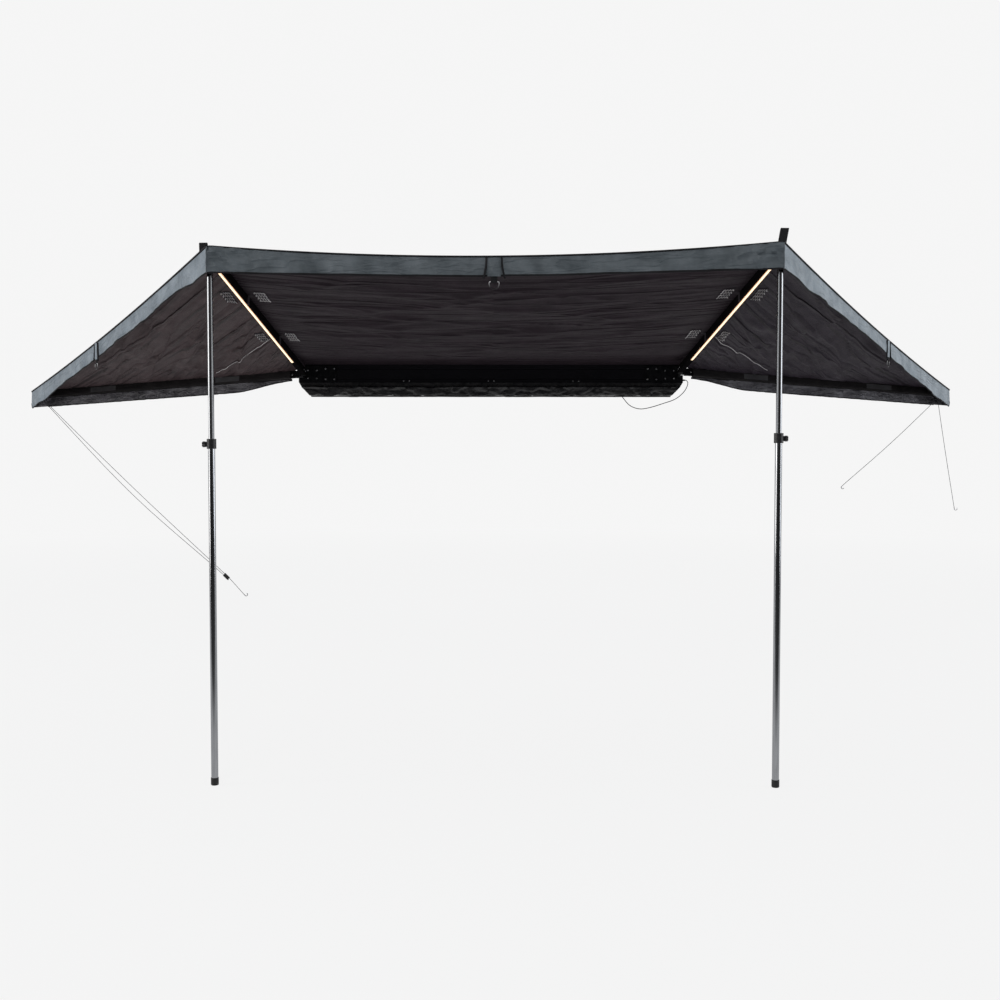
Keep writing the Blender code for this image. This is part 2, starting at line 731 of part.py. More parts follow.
def led_strip(side, parent):
    lateral = side_sign(side) * FRONT_OFFSET
    top = -ARM_TALL / 2 - GAP
    half = LED_WIDE / 2
    bm = box((LED_START, lateral - half, top - LED_T), (LED_END, lateral + half, top), 0.001, 1)
    solid(f"led_strip_{side}", bm, parent, ((1.0, 0.86, 0.62), 0.3))


def tip_cap(side, parent):
    """End cap of the side arm, with an eye under it for the guy ropes."""
    lateral = -side_sign(side) * SIDE_OFFSET
    half = SIDE_WIDE / 2 + 0.002
    top = ARM_TALL / 2
    start = SIDE_TUBE_END + GAP
    bm = box((start, lateral - half, -top), (start + CAP_LONG, lateral + half, top), 0.003, 2)
    obj = solid(f"tip_cap_{side}", bm, parent, (BLACK, 0.5, 0.0))
    boolean(obj, tenon(SIDE_WIDE, start - TENON, start + 0.001, lateral), "UNION")
    low = (start + 0.004, lateral - TOGGLE[1] / 2, -top - TOGGLE[2])
    high = (start + 0.004 + TOGGLE[0], lateral + TOGGLE[1] / 2, -top + 0.001)
    boolean(obj, box(low, high, 0.002, 1), "UNION")


def side_sleeve(side, parent):
    """Cloth sleeve round the side arm, with a skirt that hangs from its back edge."""
    s = side_sign(side)
    lateral = -s * SIDE_OFFSET
    half = SIDE_WIDE / 2 + GAP
    tall = ARM_TALL / 2
    back = half + SLEEVE_T
    top = tall + GAP * 0.5
    # seen along the arm: closed round three sides of the tube, open at the top, with the skirt
    profile = [(half, top - 0.002), (half, -tall - GAP), (-half, -tall - GAP), (-half, top - 0.002)]
    profile += [(-back, top - 0.002), (-back, -SKIRT_DROP), (-back + SKIRT_T, -SKIRT_DROP)]
    profile += [(-back + SKIRT_T, -tall - GAP - SLEEVE_T), (back, -tall - GAP - SLEEVE_T)]
    profile += [(back, top - 0.002)]
    profile = [(lateral + s * y, z) for y, z in profile]
    middle = (SLEEVE_START + SLEEVE_END) / 2
    bm = outline([profile], SLEEVE_END - SLEEVE_START, upright((middle, 0, 0)))
    solid(f"side_sleeve_{side}", bm, parent, (BLACK, 0.9, 0.0))


def seam_rise(s):
    """How far the cloth stands above the arms at a distance s from the pin."""
    share = max(0.0, 1 - s / RISE_RUN)
    return ROOT_RISE * share * share * (3 - 2 * share)


def roof_point(side, s, lateral=0.0):
    """A point over the front arm's middle line, in the roof plane's frame."""
    local = Vector((s, side_sign(side) * (FRONT_OFFSET + lateral), CLOTH_N + seam_rise(s)))
    return roof_matrix().inverted() @ arm_matrix(side, "front") @ local


def centre_surface(u, v):
    """Centre panel's underside: u from left to right, v from the plate to the front edge."""
    s = 0.012 + v * (CORNER_S - 0.012)
    left = roof_point("left", s, GAP)
    right = roof_point("right", s, GAP)
    point = left.lerp(right, u)
    if v == 0:
        keder_y = PLATE_BACK_Y - PLATE_DEPTH / 2
        top = up(PLATE_BOTTOM + PLATE_TALL) + GAP
        left = roof_point("left", -PIN_Q_LEFT - PLATE_DEPTH / 2, GAP)
        right = roof_point("right", -PIN_Q_RIGHT - PLATE_DEPTH / 2, GAP)
        return roof_matrix().inverted() @ Vector((left.lerp(right, u).x, keder_y, top))
    across = 2 * u - 1
    clear = 1 - 2 * SEAM_SHARE
    hang = max(0.0, 1 - (across / clear) ** 2)
    point.y += FRONT_BOW * hang * v * v
    belly = ROOF_SAG * math.sin(math.pi * min(1, v * 1.05)) if v < 0.95 else 0
    point.z -= hang * (belly + FRONT_DIP * v**4)
    folds = math.sin(math.pi * FOLDS * v + 2.2 * across)
    point.z -= FOLD_DEEP * hang * (0.5 + 0.5 * folds) * math.sin(math.pi * v)
    return point


def wing_ends(side):
    """Outer corners of the wing, over the front arm and at the side arm's tip."""
    s = side_sign(side)
    front = arm_matrix(side, "front") @ Vector((CORNER_S, s * (FRONT_OFFSET - GAP), CLOTH_N))
    tip = arm_matrix(side, "side") @ Vector((TIP_S, -s * (SIDE_OFFSET + SIDE_WIDE / 2), CLOTH_N))
    inverse = roof_matrix().inverted()
    return inverse @ front, inverse @ tip


def wing_root(side):
    s = side_sign(side)
    front = arm_matrix(side, "front") @ Vector((WING_START, s * (FRONT_OFFSET - GAP), CLOTH_N))
    back = arm_matrix(side, "side") @ Vector(
        (WING_START, -s * (SIDE_OFFSET + SIDE_WIDE / 2), CLOTH_N)
    )
    inverse = roof_matrix().inverted()
    return inverse @ front, inverse @ back


def wing_surface(side):
    """The wing's underside: u from the front arm to the side arm, v from the hub outwards."""
    front, tip = wing_ends(side)
    root_front, root_back = wing_root(side)
    chord = tip - front
    inward = Vector((chord.y, -chord.x, 0)).normalized()
    if inward.dot(pin_point(side) - front) < 0:
        inward = -inward

    def point(u, v):
        outer = front.lerp(tip, u) + inward * WING_BOW * 4 * u * (1 - u)
        inner = root_front.lerp(root_back, u)
        place_at = inner.lerp(outer, v)
        away = (place_at - pin_point(side)).to_2d().length
        lift = seam_rise(away) * (1 - u)
        hang = max(0.0, 1 - (abs(2 * u - 1) / (1 - 2 * WING_SEAM_SHARE)) ** 2)
        place_at.z += lift - WING_SAG * hang * math.sin(math.pi * v) * v * v
        return place_at

    return point


def centre_roof(roof):
    surface = grid(centre_surface, edged(20, SEAM_SHARE), even(20))
    cloth("roof_centre", surface, roof, (CLOTH, 0.85), CLOTH_T, -1)


def hem_frame():
    """Where the middle of the front hem is, in the roof plane's frame."""
    return centre_surface(0.5, 1.0)


def front_valance(hem):
    """Hangs from the front edge, deep at the corners and shallow in the middle."""
    world = roof_matrix()
    back = hem.matrix_world.inverted()
    out = HEM_OUT

    def point(u, v):
        edge = centre_surface(u, 1.0)
        edge.y -= out
        edge.z += CLOTH_T
        top = world @ edge
        deep = VALANCE_MID + (VALANCE_TALL - VALANCE_MID) * abs(2 * u - 1) ** 2.5
        top.z -= deep * v
        return back @ top

    surface = grid(point, edged(20, SEAM_SHARE), even(3))
    cloth("front_valance", surface, hem, (CLOTH, 0.85), VALANCE_T, -1)


def side_edge(side):
    """Top outer edge of a wing and the outward direction along it, in world axes."""
    surface = wing_surface(side)
    world = roof_matrix()
    front, tip = wing_ends(side)
    chord = (world.to_3x3() @ (tip - front)).normalized()
    outward = Vector((0, 0, 1)).cross(chord) * (-1 if side == "left" else 1)
    if outward.x * side_sign(side) > 0:
        outward = -outward

    def edge(u):
        place_at = surface(u, 1.0)
        place_at.z += CLOTH_T
        return world @ place_at

    return edge, outward.normalized()


def side_valance(side, parent):
    edge, outward = side_edge(side)
    back = parent.matrix_world.inverted()

    def point(u, v):
        top = edge(u) + outward * HEM_OUT
        top.z -= VALANCE_TALL * v
        return back @ top

    offset = 1 if side == "left" else -1
    surface = grid(point, edged(18, WING_SEAM_SHARE), even(2))
    cloth(f"side_valance_{side}", surface, parent, (CLOTH, 0.85), VALANCE_T, offset)


def wing(side, parent):
    surface = wing_surface(side)
    move = parent.matrix_world.inverted() @ roof_matrix()
    offset = 1 if side == "left" else -1
    cloth(
        f"roof_wing_{side}",
        grid(lambda u, v: move @ surface(u, v), edged(18, WING_SEAM_SHARE), even(14)),
        parent,
        (CLOTH, 0.85),
        CLOTH_T,
        offset,
    )


def corner_loop(side, parent):
    """Webbing loop that stands on the cloth over the pole: upright on one side, folded on the other."""
    s = side_sign(side)
    tall = LOOP_TALL[side]
    base = CLOTH_N + CLOTH_T + GAP
    half = LOOP_DEEP / 2
    outer = arc(0, tall - half, half, 0, 180, 8) + [(-half, 0), (half, 0)]
    inner_r = half - LOOP_T
    inner = arc(0, tall - half, inner_r, 0, 180, 8) + [(-inner_r, LOOP_T), (inner_r, LOOP_T)]
    at = Matrix.Translation((PIVOT_S - 0.010, s * (FRONT_OFFSET - LOOP_WIDE / 2 - 0.004), base))
    bm = outline([outer, inner], LOOP_WIDE, at @ front_on())
    solid(f"corner_loop_{side}", bm, parent, (BLACK, 0.9))


def tab_and_ring(name, parent, matrix, drop):
    """Cloth tab on a valance's outside, with webbing round the straight bar of a D-ring.

    matrix has X along the valance, Y inwards and Z up, at the valance's top outer edge.
    drop is the valance's depth there.
    """
    back = parent.matrix_world.inverted() @ matrix
    low = -drop - 0.004
    bm = box((-TAB_WIDE / 2, -TAB_T, low), (TAB_WIDE / 2, 0, -0.004))
    bm.transform(back)
    obj = solid(f"{name}_tab", bm, parent, (CLOTH, 0.85))
    bar = Vector((0, -TAB_T / 2, low - WEB_DROP))
    web = box((-WEB_WIDE / 2, bar.y - 0.0012, bar.z), (WEB_WIDE / 2, bar.y + 0.0012, low + 0.003))
    web.transform(back)
    boolean(obj, web, "UNION")
    half = Vector((WEB_WIDE / 2, 0, 0))
    sleeve = cylinder(WEB_R, bar - half, bar + half, 20)
    sleeve.transform(back)
    boolean(obj, sleeve, "UNION")
    bore = cylinder(RING_R + RING_CLEAR, bar - 2 * half, bar + 2 * half, 16)
    bore.transform(back)
    boolean(obj, bore)
    swing = frame(f"{name}_ring_frame", matrix @ Matrix.Translation(bar))
    wide, tall = RING_WIDE / 2, RING_TALL
    loop = [(-wide + 0.006, 0), (wide - 0.006, 0)]
    loop += arc(wide - 0.005, -0.005, 0.005, 90, 0, 3)[1:]
    loop += arc(0, -tall + wide, wide, 0, -180, 14)
    loop += arc(-wide + 0.005, -0.005, 0.005, 180, 90, 3)[:-1]
    curve = bpy.data.curves.new(f"{name}_d_ring", "CURVE")
    curve.dimensions = "3D"
    curve.bevel_depth = RING_R
    curve.bevel_resolution = 2
    spline = curve.splines.new("POLY")
    spline.points.add(len(loop) - 1)
    for point, (x, z) in zip(spline.points, loop):
        point.co = (x, 0, z, 1)
    spline.use_cyclic_u = True
    curve.materials.append(material(f"{name}_d_ring", (0.62, 0.62, 0.63), 0.25, 1.0))
    place(bpy.data.objects.new(f"{name}_d_ring", curve), swing)


def travel_bag():
    """Collapsed cover under the plate, with sloping ends and a lower front lip."""
    half = (BAG_TOP_HALF, BAG_BOTTOM_HALF)
    top, bottom = up(PLATE_BOTTOM) - GAP, up(BAG_BOTTOM)
    shape = [(-half[0], top), (-half[1], bottom), (half[1], bottom), (half[0], top)]
    deep = PLATE_BACK_Y - BAG_FRONT_Y
    middle = (PLATE_BACK_Y + BAG_FRONT_Y) / 2
    bm = outline([shape], deep, front_on((0, middle, 0)))
    obj = solid("travel_bag", bm, None, ((0.02, 0.02, 0.021), 0.5))
    step = PLATE_BACK_Y - PLATE_DEPTH - 0.003
    boolean(obj, box((-half[0] - 0.01, BAG_FRONT_Y - 0.01, up(BAG_LIP)), (half[0] + 0.01, step, top + 0.01)))
    edge = obj.modifiers.new("soft edges", "BEVEL")
    edge.width = 0.008
    edge.segments = 3
    edge.limit_method = "ANGLE"


def tip_eye(side):
    """Underside of the rope eye at the side arm's tip, in the part's frame."""
    x = SIDE_TUBE_END + GAP + 0.004 + TOGGLE[0] / 2
    z = -ARM_TALL / 2 - TOGGLE[2]
    return arm_matrix(side, "side") @ Vector((x, -side_sign(side) * SIDE_OFFSET, z))


def rope_start(side, index):
    """First two points of a rope, square out of the rope eye; the two ropes of a side lie side by side."""
    turn = arm_matrix(side, "side").to_3x3()
    start = tip_eye(side) + turn @ Vector(((index - 0.5) * ROPE_APART, 0, -GAP))
    return [start, start - turn @ Vector((0, 0, ROPE_OUT))]


def rope(name, points, parent):
    back = parent.matrix_world.inverted()
    route = [back @ p for p in smooth_route(points, ROPE_STEP)]
    tube(f"guy_rope_{name}", route, ROPE_D, parent, ((0.10, 0.10, 0.11), 0.8), 1)


def rope_hook(name, end, toward, parent):
    """Bent wire hook whose shank carries on from the rope's end."""
    along = toward.normalized()
    side_way = along.cross(Vector((0, 1, 0))).normalized()
    route = [along * (GAP + HOOK_SHANK * share) for share in (0, 0.5, 1)]
    centre = route[-1] + side_way * HOOK_BEND
    for step in range(1, 9):
        a = math.radians(200) * step / 8
        route.append(centre - side_way * HOOK_BEND * math.cos(a) + along * HOOK_BEND * math.sin(a))
    back = parent.matrix_world.inverted()
    route = [back @ (end + p) for p in route]
    tube(f"rope_hook_{name}", route, 2 * HOOK_R, parent, ((0.30, 0.30, 0.31), 0.4, 1.0), 2)


def guy_ropes(side_frames):
    """Two ropes at each side-arm tip: a pair through a slider on the left, two spread on the right."""
    parent = side_frames["left"]
    slider = Vector(SLIDER_AT)
    end = Vector(LEFT_ROPE_END)
    first, start = rope_start("left", 0)
    along = (end - start).normalized()
    across = along.cross(Vector((0, 1, 0))).normalized()
    if across.z < 0:
        across = -across
    straight = along * (SLIDER_LONG / 2 + 0.006)
    upper = slider + across * SLIDER_HOLE
    sag = Vector((0, 0, -ROPE_SAG))
    points = [first, start, (start + upper - straight) / 2 + sag, upper - straight]
    rope("left_main", points + [upper + straight, end], parent)
    rope_hook("left", end, end - upper - straight, parent)
    lower = slider - across * SLIDER_HOLE
    first, start = rope_start("left", 1)
    middle = (start + lower - straight) / 2 + 4 * sag
    rope("left_return", [first, start, middle, lower - straight, lower + straight], parent)
    turn = Matrix((across, along.cross(across), along)).transposed().to_4x4()
    move = parent.matrix_world.inverted() @ Matrix.Translation(slider) @ turn
    loops = [round_box_outline(SLIDER_WIDE, SLIDER_T, 0.0015)]
    loops += [arc(x, 0, ROPE_D / 2 + 0.0005, 0, 337.5, 15) for x in (-SLIDER_HOLE, SLIDER_HOLE)]
    bm = outline(loops, SLIDER_LONG, move)
    solid("rope_slider", bm, parent, (BLACK, 0.4, 0.0))
    parent = side_frames["right"]
    for index, (name, end) in enumerate(RIGHT_ROPE_ENDS.items()):
        end = Vector(end)
        first, start = rope_start("right", index)
        rope(f"right_{name}", [first, start, (start + end) / 2 + sag, end], parent)
        rope_hook(f"right_{name}", end, end - (start + end) / 2 - sag, parent)


def led_lead():
    """Lead of the LED strips, from the gland on the plate's end to the coil behind the plate."""
    x, y, z = LEAD_EXIT
    coil = lead_coil_route()
    points = [(x, y, up(z))] + [(px, py, up(pz)) for px, py, pz in LEAD_ROUTE]
    start = coil[0]
    points += [(start.x - run, start.y, start.z) for run in (0.035, 0.015, GAP)]
    tube("led_lead", smooth_route(points, LEAD_STEP), LEAD_D, None, (BLACK, 0.6), 2)
    tail = coil[-1] + Vector((LEAD_TAIL, 0, 0))
    tube("led_lead_coil", coil + [tail], LEAD_D, None, (BLACK, 0.6), 1)
    print_coil_gap(coil)
    plug_end = tail + Vector((PLUG_LONG, 0, 0))
    plug = cylinder(PLUG_R, tail + Vector((GAP, 0, 0)), plug_end, 24)
    obj = solid("led_plug", plug, None, (BLACK, 0.5), 40)
    nose = cylinder(PLUG_R * 0.6, plug_end - Vector((0.001, 0, 0)), plug_end + Vector((0.012, 0, 0)))
    boolean(obj, nose, "UNION")


def lead_coil_route():
    """Piled loops that spiral in and out again, layer on layer, about an axis along Y."""
    turns = COIL_TURNS_PER_LAYER
    per = 24
    cx, cz = COIL_CENTRE
    back = PLATE_BACK_Y + LEAD_D / 2 + GAP
    route = []
    total = turns * COIL_LAYERS * per
    for i in range(total + 1):
        turn = i / per
        layer = min(COIL_LAYERS - 1, int(turn // turns))
        within = turn - layer * turns
        inwards = layer % 2 == 0
        radial = (turns - within) if inwards else within
        radius = COIL_INNER + COIL_STEP * radial
        # the climb to the next layer takes the half turn round the place where the spiral reverses
        climb = 0.0
        if layer < COIL_LAYERS - 1 and within > turns - 0.25:
            climb = (within - (turns - 0.25)) / 0.5
        if layer > 0 and within < 0.25:
            climb = -(0.25 - within) / 0.5
        y = back + (layer + climb) * COIL_STEP
        a = 2 * math.pi * turn - math.pi / 2
        route.append(Vector((cx + radius * math.cos(a), y, up(cz) + radius * math.sin(a))))
    return route


def print_coil_gap(route, per=24):
    """Least gap of the coil's tube to itself, measured on its points."""
    least = 1.0
    for i, a in enumerate(route):
        for b in route[i + per // 2:]:
            least = min(least, (a - b).length)
    print(f"coil: least gap to itself {(least - LEAD_D) * 1000:.2f} mm")


def main():
    global PARTS, CUTTERS
    clear_scene()
    PARTS = collection("side_awning")
    CUTTERS = collection("cutters")
    roof = frame("roof_plane", roof_matrix())
    plate()
    for name, x in zip(("left", "centre", "right"), BRACKET_X):
        rack_bracket(f"rack_bracket_{name}", x)
    travel_bag()
    centre_roof(roof)
    hem = frame("hem_frame", roof_matrix() @ Matrix.Translation(hem_frame()))
    front_valance(hem)
    hem_top = centre_surface(0.5, 1.0)
    hem_top.z += CLOTH_T
    at = roof_matrix() @ hem_top
    at.y -= HEM_OUT + GAP + VALANCE_T + TAB_STAND
    tab_and_ring("front", hem, Matrix.Translation(at), VALANCE_MID)
    side_frames = {}
    for side in ("left", "right"):
        hub_bracket(side)
        hinge_pin(side)
        front = frame(f"front_arm_frame_{side}", arm_matrix(side, "front"))
        back = frame(f"side_arm_frame_{side}", arm_matrix(side, "side"))
        side_frames[side] = back
        s = side_sign(side)
        box_tube(f"front_arm_{side}", FRONT_WIDE, TUBE_START, FRONT_TUBE_END, s * FRONT_OFFSET, front)
        box_tube(f"side_arm_{side}", SIDE_WIDE, TUBE_START, SIDE_TUBE_END, -s * SIDE_OFFSET, back)
        front_knuckle(side, front)
        side_knuckle(side, back)
        pole_clevis(side, front)
        led_strip(side, front)
        tip_cap(side, back)
        side_sleeve(side, back)
        wing(side, front)
        side_valance(side, front)
        corner_loop(side, front)
        pole(side)
        edge_tab(side)
    guy_ropes(side_frames)
    led_lead()


def edge_tab(side):
    """Tab and D-ring on the side valance, on a frame that turns with that part of the wing's edge."""
    edge, outward = side_edge(side)
    at = edge(TAB_SHARE) + outward * (HEM_OUT + GAP + VALANCE_T + TAB_STAND)
    along = Vector((0, 0, 1)).cross(outward)
    if along.cross(-outward).z < 0:
        along = -along
    matrix = Matrix((along, -outward, (0, 0, 1))).transposed().to_4x4()
    matrix = Matrix.Translation(at) @ matrix
    pin = roof_matrix() @ Matrix.Translation(pin_point(side))
    body = frame(f"wing_edge_frame_{side}", pin)
    tab_and_ring(f"side_{side}", body, matrix, SIDE_TAB_DROP)


main()
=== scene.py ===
"""Looks of the vehicle side awning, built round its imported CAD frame. Metres, +Z up."""

from math import atan2, cos, degrees, dist, exp, pi, radians, sin, sqrt

import bmesh
import bpy
from mathutils import Matrix, Vector, noise
from mathutils.bvhtree import BVHTree


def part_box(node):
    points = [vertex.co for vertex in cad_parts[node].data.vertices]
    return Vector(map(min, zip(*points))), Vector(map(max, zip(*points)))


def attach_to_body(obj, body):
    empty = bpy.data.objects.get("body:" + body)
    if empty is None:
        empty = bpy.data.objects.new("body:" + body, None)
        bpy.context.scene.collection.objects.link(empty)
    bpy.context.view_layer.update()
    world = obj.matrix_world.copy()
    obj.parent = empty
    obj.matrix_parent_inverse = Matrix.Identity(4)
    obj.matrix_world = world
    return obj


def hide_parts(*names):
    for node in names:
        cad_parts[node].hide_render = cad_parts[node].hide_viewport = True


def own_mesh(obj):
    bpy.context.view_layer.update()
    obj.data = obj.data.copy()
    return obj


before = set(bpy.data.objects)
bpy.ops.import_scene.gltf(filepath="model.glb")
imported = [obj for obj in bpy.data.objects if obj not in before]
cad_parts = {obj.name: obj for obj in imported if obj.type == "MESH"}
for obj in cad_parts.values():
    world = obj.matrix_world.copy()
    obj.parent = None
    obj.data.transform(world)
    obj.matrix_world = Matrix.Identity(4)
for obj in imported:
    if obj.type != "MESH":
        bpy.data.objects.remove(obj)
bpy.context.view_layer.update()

# Sizes shared with the CAD, in metres
GROUND = -1.8
GAP = 0.0003
PLATE_BACK_Y = -0.045
PLATE_DEPTH = 0.03
PLATE_BOTTOM = 1.81
PLATE_TALL = 0.104
ROOF_TILT = radians(9.9)
ROOF_HEIGHT = 1.8532
PIN_X = 1.1105
PIN_Q = {"left": 0.0455, "right": 0.1125}
SPLAY = radians(2.5)
SIDE_SWEEP = radians(18.2)
ARM_TALL = 0.04
FRONT_OFFSET = 0.0165
FRONT_WIDE = 0.03
SIDE_OFFSET = 0.014
SIDE_WIDE = 0.025
SIDE_TUBE_END = 1.775
CLOTH_T = 0.0025
CLOTH_N = ARM_TALL / 2 + GAP
ROOT_RISE = 0.039
RISE_RUN = 0.45
ROOT_START = 0.012
CORNER_S = 2.227
ROOF_SAG = 0.03
FRONT_DIP = 0.037
FRONT_BOW = 0.045
SEAM_SHARE = 0.009
WING_START = 0.06
WING_BOW = 0.026
WING_SAG = 0.032
WING_SEAM_SHARE = 0.02
TIP_S = 1.892
HEM_OUT = 0.001
VALANCE_TALL = 0.107
VALANCE_MID = 0.078
TAB_SHARE = 0.555
SIDE_TAB_DROP = 0.087
PIVOT_S = 2.1705

# Thin cloth of the visual model
SHEET_T = 0.0009
BINDING_R = 0.0042
PIPING_R = 0.0042
SIDE_PIPING_R = 0.006
VALANCE_FLAT = 0.115
WEAVE_PITCH = 0.0016

SIDES = ("left", "right")
SIGN = {"left": 1, "right": -1}
HALVES = {"left": (0.0, 0.5), "right": (0.5, 1.0)}
UP = Vector((0, 0, 1))


def up(height):
    return height + GROUND


def roof_matrix():
    origin = (0, PLATE_BACK_Y - PLATE_DEPTH, up(ROOF_HEIGHT))
    return Matrix.Translation(origin) @ Matrix.Rotation(-ROOF_TILT, 4, "X")


ROOF = roof_matrix()
ROOF_BACK = ROOF.inverted()
ROOF_N = ROOF.to_3x3() @ UP
DOWN_SLOPE = ROOF.to_3x3() @ Vector((0, 1, 0))


def pin_point(side):
    return Vector((-SIGN[side] * PIN_X, -PIN_Q[side], 0))


def arm_matrix(side, kind):
    s = SIGN[side]
    if kind == "front":
        angle = -pi / 2 - s * SPLAY
    else:
        angle = pi - SIDE_SWEEP if s > 0 else SIDE_SWEEP
    return ROOF @ Matrix.Translation(pin_point(side)) @ Matrix.Rotation(angle, 4, "Z")


ARM = {(side, kind): arm_matrix(side, kind) for side in SIDES for kind in ("front", "side")}


# Materials


class Nodes:
    """Adds shader nodes to one tree."""

    def __init__(self, tree):
        self.tree = tree

    def fill(self, node, sockets):
        """Gives each socket its value, or a link where that is another node's output."""
        for key, value in sockets.items():
            if isinstance(value, bpy.types.NodeSocket):
                self.tree.links.new(value, node.inputs[key])
            else:
                node.inputs[key].default_value = value

    def node(self, kind, sockets, **properties):
        made = self.tree.nodes.new("ShaderNode" + kind)
        for key, value in properties.items():
            setattr(made, key, value)
        self.fill(made, sockets)
        return made

    def math(self, operation, *values):
        return self.node("Math", dict(enumerate(values)), operation=operation).outputs[0]

    def remap(self, value, from_min, from_max, to_min, to_max):
        ends = {"From Min": from_min, "From Max": from_max, "To Min": to_min, "To Max": to_max}
        return self.node("MapRange", {"Value": value, **ends}).outputs[0]

    def axis(self, vector, name):
        return self.node("SeparateXYZ", {0: vector}).outputs[name]


class Look(Nodes):
    """A Principled material whose colour, roughness and bump come from procedural nodes."""

    def __init__(self, name, colour, roughness=0.6, metallic=0.0):
        self.mat = bpy.data.materials.new(name)
        self.mat.use_nodes = True
        super().__init__(self.mat.node_tree)
        self.shader = self.tree.nodes["Principled BSDF"]
        self.shade({"Base Color": (*colour, 1), "Roughness": roughness, "Metallic": metallic})
        self.mat.diffuse_color = (*colour, 1)
        self.where = self.tree.nodes.new("ShaderNodeTexCoord").outputs
        self.bumps = None

    def shade(self, sockets):
        self.fill(self.shader, sockets)

    def noise(self, scale, detail=4.0, stretch=(1, 1, 1), coord="Object", rough=0.55):
        place = self.node("Mapping", {"Vector": self.where[coord], "Scale": stretch}).outputs[0]
        sockets = {"Vector": place, "Scale": scale, "Detail": detail, "Roughness": rough}
        return self.node("TexNoise", sockets).outputs["Fac"]

    def ramp(self, fac, low, high, start=0.35, end=0.65):
        made = self.node("ValToRGB", {"Fac": fac})
        for element, at, colour in zip(made.color_ramp.elements, (start, end), (low, high)):
            element.position = at
            element.color = (*colour, 1)
        return made.outputs["Color"]

    def colours(self, fac, low, high, start=0.35, end=0.65):
        self.shade({"Base Color": self.ramp(fac, low, high, start, end)})

    def rough(self, fac, low, high):
        self.shade({"Roughness": self.remap(fac, 0.0, 1.0, low, high)})

    def bump(self, height, strength, distance):
        sockets = {"Strength": strength, "Distance": distance, "Height": height}
        if self.bumps is not None:
            sockets["Normal"] = self.bumps
        self.bumps = self.node("Bump", sockets).outputs["Normal"]
        self.shade({"Normal": self.bumps})

    def crease(self, scale, stretch, width=0.05):
        """1 along sharp lines, the middle level of a stretched noise, and 0 away from them."""
        off = self.math("SUBTRACT", self.noise(scale, 2.0, stretch, "UV", 0.5), 0.5)
        return self.remap(self.math("ABSOLUTE", off), 0.0, width, 1.0, 0.0)

    def weave(self, pitch):
        """Crossed threads at that pitch in metres."""
        waves = []
        for name in ("X", "Y"):
            turn = self.math("MULTIPLY", self.axis(self.where["UV"], name), 2 * pi / pitch)
            waves.append(self.math("SINE", turn))
        self.bump(self.math("MULTIPLY", *waves), 0.35, 0.0004)


def cloth_look(name, low, high, roughness, crease=0.35, specular=0.1, folds=None):
    """Woven cloth; folds is (scale, (across u, across v), depth) for soft folds with sharp creases."""
    look = Look(name, low, roughness)
    look.colours(look.noise(9.0, 5.0), low, high, 0.3, 0.72)
    look.rough(look.noise(22.0, 3.0), roughness - 0.08, roughness + 0.08)
    look.weave(WEAVE_PITCH)
    if folds:
        scale, across, depth = folds
        look.bump(look.noise(scale, 3.0, (*across, 1), "UV", 0.5), 1.0, depth)
        look.bump(look.crease(scale * 1.6, (*across, 1)), 0.8, depth * 0.16)
    look.bump(look.noise(34.0, 5.0, (1.0, 1.0, 2.2)), crease, 0.0035)
    look.shade({"Specular IOR Level": specular})
    return look.mat


def hard_look(
    name, low, high, roughness, metallic, specular, scales, detail, spread, grain, stretch=(1, 1, 1)
):
    """Metal or plastic; scales are the noises' for colour, roughness and bump."""
    look = Look(name, low, roughness, metallic)
    look.colours(look.noise(scales[0], detail, stretch), low, high)
    look.rough(look.noise(scales[1], detail, stretch), roughness - spread, roughness + 0.08)
    look.bump(look.noise(scales[2], 2.0, stretch), grain, 0.0002)
    look.shade({"Specular IOR Level": specular})
    return look.mat


def metal_look(name, low, high, roughness, metallic, brushed=(1, 1, 1), specular=0.5):
    scales = (40.0, 90.0, 500.0)
    return hard_look(name, low, high, roughness, metallic, specular, scales, 4.0, 0.06, 0.06, brushed)


def plastic_look(name, low, high, roughness, grain=0.12, specular=0.3):
    scales = (60.0, 120.0, 900.0)
    return hard_look(name, low, high, roughness, 0.0, specular, scales, 3.0, 0.05, grain)


ROOF_FOLDS = (2.2, (0.35, 2.0), 0.08)
WING_FOLDS = (2.0, (0.28, 1.7), 0.16)
VALANCE_FOLDS = (6.0, (0.8, 1.8), 0.02)
SIDE_FOLDS = (5.0, (1.2, 1.6), 0.03)
SKIRT_FOLDS = (9.0, (1.0, 2.0), 0.03)
OUTSIDE = cloth_look("roof_outside", (0.045, 0.055, 0.066), (0.06, 0.071, 0.083), 0.62)
UNDERSIDE = cloth_look(
    "roof_underside", (0.018, 0.0135, 0.0165), (0.0265, 0.0195, 0.024), 0.64, specular=0.03, folds=ROOF_FOLDS
)
# The two wings' undersides are one cloth in two tones, the left one lighter and warmer: painted light and
# shade, for the light falling differently on the two sides.
WING_PAINTED_LIGHT_TONES = {
    "left": ((0.043, 0.0305, 0.0325), (0.062, 0.044, 0.046)),
    "right": ((0.019, 0.0148, 0.02), (0.0275, 0.0216, 0.029)),
}
WING_UNDERSIDES_PAINTED_LIGHT = {
    side: cloth_look(f"wing_underside_{side}", *painted_light_tones, 0.62, specular=0.05, folds=WING_FOLDS)
    for side, painted_light_tones in WING_PAINTED_LIGHT_TONES.items()
}
# The front valance and the two side valances are one cloth in three tones, darkest at the front and lightest
# on the right: painted light and shade, for the light falling on each from a different side.
VALANCE = cloth_look(
    "valance_cloth", (0.04, 0.049, 0.056), (0.098, 0.112, 0.124), 0.46, 0.9, 0.2, VALANCE_FOLDS
)
